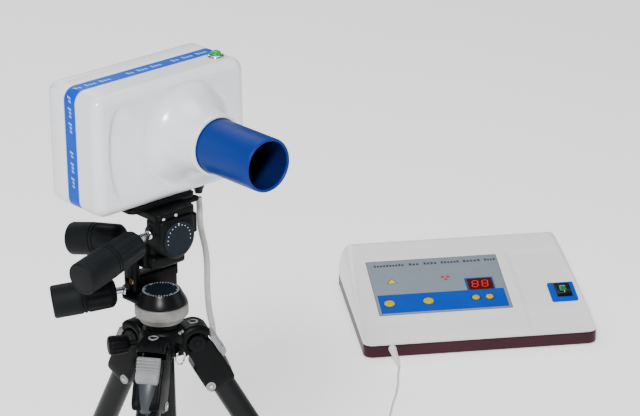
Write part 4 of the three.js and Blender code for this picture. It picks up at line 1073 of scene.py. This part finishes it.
build("panel_sheet", pillow(slope, 32.5, 228.8, 71.2, 216.7, -0.9, 0.3, 2.4, 0.2), PANEL, "stand_frame",
    ("control_panel",))
line = [rect(32.9, 228.4, 71.6, 72.3), rect(32.9, 228.4, 215.6, 216.3), rect(32.9, 33.5, 71.6, 216.3),
    rect(227.8, 228.4, 71.6, 216.3)]
flat("panel_border", line, 0.2, 0.36, material("panel_edge_ink", "panel_grey", (0.10, 0.105, 0.115), 0.5,
    vary=0.1, blotch=100, grain=900, bump=0.05))
flat("panel_blue_field", [rect(37, 224, 76.4, 124.6), rect(170.4, 212.4, 124, 156.4)], 0.2, 0.40, FIELD)
words = ((43.5, 10), (96, 3), (118, 4), (144, 6), (177, 5), (209, 4))
dashes = []
for i, (x, n) in enumerate(words):
    pitch = (4.6, 5.4, 5.2, 4.7, 5.4, 4.4)[i]
    for k in range(n):
        tall = 5.6 if (k * 7 + i * 3) % 4 == 0 else 4.6
        if k == 0:
            tall = 6.0
        dashes.append(rect(x + pitch * k, x + pitch * k + pitch * 0.68, 200.2, 200.2 + tall))
flat("panel_title_dashes", dashes, 0.2, 0.38, INK)
flat("panel_triangle_edge", [disc(64, 158.6, 9.3, 3, 90)], 0.2, 0.38, INK)
flat("panel_triangle", [disc(64, 158.6, 7.2, 3, 90)], 0.2, 0.42, YELLOW)
flat("panel_red_dots", [disc(144 + 4.6 * cos(radians(a)), 161.5 + 4.2 * sin(radians(a)), 2.8, 20)
    for a in (150, 30, 270)], 0.2, 0.38, RED)
marks = [rect(47, 50.6, 111.5, 114), rect(51.4, 55, 111.5, 115), rect(47.4, 54.6, 115.6, 116.6)]
marks += [rect(45 + 2.4 * k, 46.6 + 2.4 * k, 86.6, 88.4)
    for k in range(6)] + [rect(106 + 2.3 * k, 107.5 + 2.3 * k, 88.6, 90.2) for k in range(4)]
marks += [rect(187.6, 188.8, 89.6, 91.6), rect(190, 191.6, 89.6, 91.6)]
for a in range(10):
    t = radians(36 * a)
    marks.append([(108 + r * cos(t + w), 116.4 + r * sin(t + w)) for r,
        w in ((2.6, 0), (3.1, 0), (3.1, 0.5), (2.6, 0.5))])
flat("panel_small_marks", marks, 0.2, 0.46, INK)
build("display_frame", pillow(slope, 172.2, 211, 123, 154.6, 0.2, 0.7, 1.6, 0.2), INK, "stand_frame",
    slot="display_red")
build("display_lens", pillow(slope, 173.6, 209.6, 124.4, 153.2, -0.8, 1.1, 1.5, 0.3), WINDOW,
    "stand_frame", ("display_window",))
segs = []
for cx in (184.2, 198.8):
    def bar(x0, y0, x1, y1, w=1.0):
        """Pointed bar of a digit, leaning like italic type."""
        ax, ay = x1 - x0, y1 - y0
        n = hypot(ax, ay)
        ax, ay = ax / n, ay / n
        px, py = -ay * w, ax * w
        pts = [(x0, y0), (x0 + ax * w + px, y0 + ay * w + py), (x1 - ax * w + px, y1 - ay * w + py),
            (x1, y1), (x1 - ax * w - px, y1 - ay * w - py), (x0 + ax * w - px, y0 + ay * w - py)]
        return [(cx + x + 0.12 * y, 138.8 + y) for x, y in reversed(pts)]
    w, h = 4.1, 8.2
    for x0, y0, x1, y1 in ((-w, h, w, h), (-w, 0, w, 0), (-w, -h, w, -h), (-w, 0, -w, h), (w, 0, w, h),
            (-w, -h, -w, 0), (w, -h, w, 0)):
        dx, dy = (x1 - x0), (y1 - y0)
        n = hypot(dx, dy)
        segs.append(bar(x0 + dx / n * 0.5, y0 + dy / n * 0.5, x1 - dx / n * 0.5, y1 - dy / n * 0.5))
flat("display_digits", segs, 0.9, 1.16, LIT)
for i, (x, y, r) in enumerate(((51.9, 101, 7.6), (109.3, 101.6, 7.6), (179.3, 103, 5.6), (199.5, 103, 5.6))):
    up_dir = turned((0, 0, 1), slope)
    base = slope(x, y, 0)
    build(f"key_cap_{i + 1}",
        lathe(base, up_dir, [(-3, r - 0.1), (0.4, r), (1.2, r - 0.02), (1.7, r - 0.25), (2.1, r - 0.8),
        (2.35, r - 1.7), (2.4, r - 2.8), (2.25, r - 4.2), (2.2, 0.2)], 56), KEY, f"key_{i + 1}",
        (f"key_{i + 1}",), sharp=40)
    wide = 2.0 if i > 1 else 0.7
    build(f"key_rim_{i + 1}",
        lathe(base, up_dir, [(0.2, r + 0.25), (0.75, r + 0.3), (0.95, r + 0.45), (0.95, r + wide - 0.2),
        (0.75, r + wide), (0.2, r + wide + 0.05)], 56, OPEN), INK, "stand_frame")
build("switch_plate", pillow(slope, 288.5, 327, 80.5, 128.5, -1.6, 1.3, 3, 0.5), PLATE, "stand_frame",
    ("switch_bezel",))
build("switch_frame", pillow(slope, 297.6, 320.4, 89.8, 124.7, 1.0, 2.0, 1.8, 0.4), ROCK, "stand_frame")


def on_rocker(a, b, h):
    """Rocker's own place: it is tipped 7 degrees about its middle at rest."""
    c, s = cos(radians(7)), sin(radians(7))
    return slope(a, 107.25 + (b * c + h * s) * cos(SLOPE_ANGLE), 0.4 + (h * c - b * s))


rings = []
for b in [-14.6, -14.5, -14.1] + [-13.4 + 26.8 * k / 26 for k in range(27)] + [14.1, 14.5, 14.6]:
    top = min(30 - sqrt(27.6 ** 2 - min(abs(b), 27) ** 2), 3.4) if abs(b) < 13.9 else (3.2
        if abs(b) < 14.4 else 2.8)
    half = [(319.0 - 0.6, -3), (318.6, -1), (318.6, top - 0.5), (318.4, top - 0.15), (318.0, top)]
    pts = [(x, h) for x, h in half] + [(2 * 309 - x, h) for x, h in reversed(half)]
    rings.append([on_rocker(x, b, h) for x, h in pts])
build("rocker_cap", loft(rings), ROCK, "power_rocker", ("power_rocker",), sharp=50)
lamp = []
for b in [-7.5 + 15 * k / 16 for k in range(17)]:
    top = 30 - sqrt(27.6 ** 2 - b * b)
    lamp.append([on_rocker(x, b, top + h) for x, h in ((304, -0.2), (304.3, 0.1), (313.7, 0.1), (314, -0.2))])
build("rocker_lamp", loft(lamp), LAMP, "power_rocker", sharp=60)
edge = [rect(-4.6, 4.6, 8.8, 9.6), rect(-0.5, 0.5, -12.2, -8.6)]
parts = [loft([[on_rocker(309 + x, y, h) for x, y in pts] for h in (3.2, 3.46)]) for pts in edge]
build("rocker_marks", join(*parts), MARK, "power_rocker", sharp=60)

# rear of the console
tray = []


def rear_y(z):
    """Distance back to the cover's outer face at height z, less a hair."""
    low, high = 0.0, 20.0
    for _ in range(30):
        m = (low + high) / 2
        if cover_h(m, DEPTH - m) < z:
            low = m
        else:
            high = m
    return DEPTH - low - 0.25


for lo, hi, z0, z1 in ((112, 114.4, 23, 57), (209.6, 212, 23, 57), (112, 212, 23, 25.4),
        (112, 212, 54.6, 57)):
    heights = [z0 + (z1 - z0) * k / 8 for k in range(9)]
    side = [(262.4, z0)] + [(rear_y(z), z) for z in heights] + [(262.4, z1)]
    tray.append(loft([[desk(x, y, z) for y, z in side] for x in (lo, hi)]))
plate = pillow(lambda a, b, h: desk(a, h, b), 112, 212, 23, 57, 262, 265.2, 2, 0.4)
build("rear_tray", join(plate, *tray), DARK, "stand_frame", ("rear_socket_plate",))
outer = outline(119, 149, 28, 52, 3, 6)
lip = [[desk(x, y, z) for x, z in ring] for ring,
    y in ((outer, 264.8), (outer, 268.6), (outline(119.5, 148.5, 28.5, 51.5, 2.6, 6), 269.2),
    (outline(122, 146, 31, 49, 2, 6), 269.2), (outline(122.6, 145.4, 31.6, 48.4, 2, 6), 268.8),
    (outline(122.6, 145.4, 31.6, 48.4, 2, 6), 265.3), (outline(130, 138, 39, 41, 0.8, 6), 265.3))]
build("mains_inlet", loft(lip, (False, True)), BLACK, "stand_frame", sharp=35, slot="socket_black")
pins = [pillow(lambda a, b, h: desk(a, h, b), x - 1, x + 1, z - 2.2, z + 2.2, 265, 268.6, 0.4, 0.3) for x,
    z in ((127, 38.6), (134, 42.2), (141, 38.6))]
build("mains_pins", join(*pins), STEEL, "stand_frame")
build("round_socket", lathe(desk(178, 265, 40), DESK_BACK,
    [(0, 10.6), (3.6, 10.6), (4.4, 10.2), (4.9, 9.4), (4.9, 8.2), (4.4, 7.6), (0.6, 7.4), (0.5, 0.2)],
    48), STEEL, "stand_frame", sharp=40)
pins = [lathe(desk(178 + 4 * cos(t), 265.6, 40 + 4 * sin(t)), DESK_BACK,
    [(0, 0.7), (2.4, 0.7), (2.9, 0.4), (3, 0.1)], 12) for t in (radians(45 + 90 * k) for k in range(4))]
build("round_socket_insert", lathe(desk(178, 265.4, 40), DESK_BACK, [(0, 7.2), (0.5, 7.2), (0.5, 0.2)],
    36), DARK, "stand_frame")
build("round_socket_pins", join(*pins), BRASS, "stand_frame")

# ------------------------------------------------------------------ cord ends
relief_dir = turned((0.087, -0.97, -0.24), desk)
prof = [(-3, 5.4), (0.4, 5.6), (1.6, 5.5), (2.2, 5.1)]
for k in range(9):
    s = 3 + 3.3 * k
    r = 5.1 - 2.2 * (s - 3) / 32
    prof += [(s, r), (s + 1.9, r - 0.12), (s + 2.15, r - 0.55), (s + 2.95, r - 0.6)]
prof += [(33, 2.9), (35.4, 2.7), (36, 2.1)]
build("cord_relief_sleeve", lathe(desk(40.7, -1.9, 13.2), relief_dir, prof, 40), CORD, "stand_frame",
    ("cord_relief",), sharp=30)
switch_at, switch_dir = tripod(508, 205, 13.2), Vector((-0.72, -0.69, 0)).normalized()
prof = [(-12.4, 2.4), (-11.6, 3.0), (-9.6, 3.3), (-9.2, 2.9), (-7.6, 3.7), (-7.2, 3.2), (-5.6, 4.1),
    (-5.2, 3.6), (-3.6, 4.6), (-3.2, 4.1), (-1.6, 5.2), (-0.8, 6.8), (0.2, 9.0), (2, 10.6), (5, 11.8),
    (12, 12.6), (20, 13.0), (27, 13.0), (27.4, 12.7), (28.2, 12.7), (28.6, 13.0), (60, 13.0), (70, 12.9),
    (78, 12.2), (84, 11.2), (86.6, 10.4), (88, 9.4), (88.2, 8.4), (88, 6.9), (84, 6.4)]
build("hand_switch_shell", lathe(switch_at, switch_dir, prof, 56), WHITE_PAINTED_LIGHT, "stand_frame", ("hand_switch",),
    sharp=30)
BUTTON = material("switch_button_blue", "switch_blue", (0.02, 0.13, 0.52), 0.3, vary=0.06, blotch=90,
    grain=1200, bump=0.1, coat=0.3)
build("hand_button_cap",
    lathe(switch_at, switch_dir, [(82, 6), (91.6, 6), (93, 5.8), (94.2, 5.1), (95, 3.9), (95.35, 2.2),
    (95.4, 0.2)], 40), BUTTON, "hand_switch_button", ("hand_switch_button",), sharp=50)
plug_at, plug_dir = tripod(319, 70, 8.5), Vector((0.866, 0.5, 0)).normalized()
prof = [(-0.4, 3.9), (0.2, 4.5), (2, 4.8), (2.4, 4.3), (4, 5.1), (4.4, 4.6), (6, 5.4), (6.4, 4.9),
    (8, 5.7), (8.4, 5.2), (10, 6.0), (11.6, 6.2), (12, 7.9), (12.6, 8.3), (22, 8.3), (38, 8.3),
    (39.6, 8.1), (40, 6.9)]
build("connector_shell", lathe(plug_at, plug_dir, prof, 40), DARK, "stand_frame", ("cable_connector",),
    sharp=30)
rings = []
for d, r, g in ((16, 8.2, 0), (16.3, 8.45, 0.0), (17, 8.48, 0.35), (27, 8.48, 0.35), (27.7, 8.45, 0.0),
        (28, 8.2, 0)):
    side = plug_dir.cross(UP)
    rings.append([plug_at + (plug_dir * d + (side * cos(t) + UP * sin(t)) * (r - (g if k % 2 else 0)))
        / 1000 for k, t in enumerate(around(60))])
build("connector_knurl", loft(rings, OPEN), BLACK, "stand_frame", sharp=60, slot="socket_black")
build("connector_barrel",
    lathe(plug_at, plug_dir, [(39.5, 6.5), (49.4, 6.55), (50, 6.3), (50, 5.7), (42, 5.6), (42, 0.2)], 40),
    STEEL, "stand_frame", sharp=40)
pins = [lathe(plug_at + (plug_dir.cross(UP) * cos(t) + UP * sin(t)) * 0.0031, plug_dir,
    [(41.5, 0.6), (47.4, 0.6), (48, 0.3)], 10) for t in (radians(90 * k + 45) for k in range(4))]
build("connector_pins", join(*pins), BRASS, "stand_frame")

# ------------------------------------------------------------------ inside the cone and the housings
LEAD = material("dull_lead", "lead", (0.10, 0.105, 0.11), 0.6, metal=0.4, vary=0.2, blotch=80, grain=900,
    bump=0.3)
build("beam_disc", lathe(cone_at, FORWARD,
    [(36.4, 9.1), (36.2, 25.6), (40.2, 25.7), (40.5, 25.2), (40.5, 11), (39.8, 9.6), (36.4, 9.1)], 72,
    OPEN), LEAD, "xray_head", ("collimator_disc",), sharp=40)
GLASS = material("tube_glass", None, (0.45, 0.5, 0.5), 0.08, vary=0.05, blotch=60, grain=500, bump=0.03,
    coat=0.5)
TANK = material("tank_metal", None, (0.3, 0.3, 0.31), 0.4, metal=0.7, vary=0.12, blotch=40, grain=900,
    bump=0.2)
BOARD = material("circuit_board", None, (0.012, 0.11, 0.045), 0.45, vary=0.2, blotch=180, grain=1400,
    bump=0.2)
for node, mat in (("xray_tube", GLASS), ("high_voltage_tank", TANK), ("console_board", BOARD)):
    bpy.data.objects[node].data.materials.clear()
    bpy.data.objects[node].data.materials.append(mat)
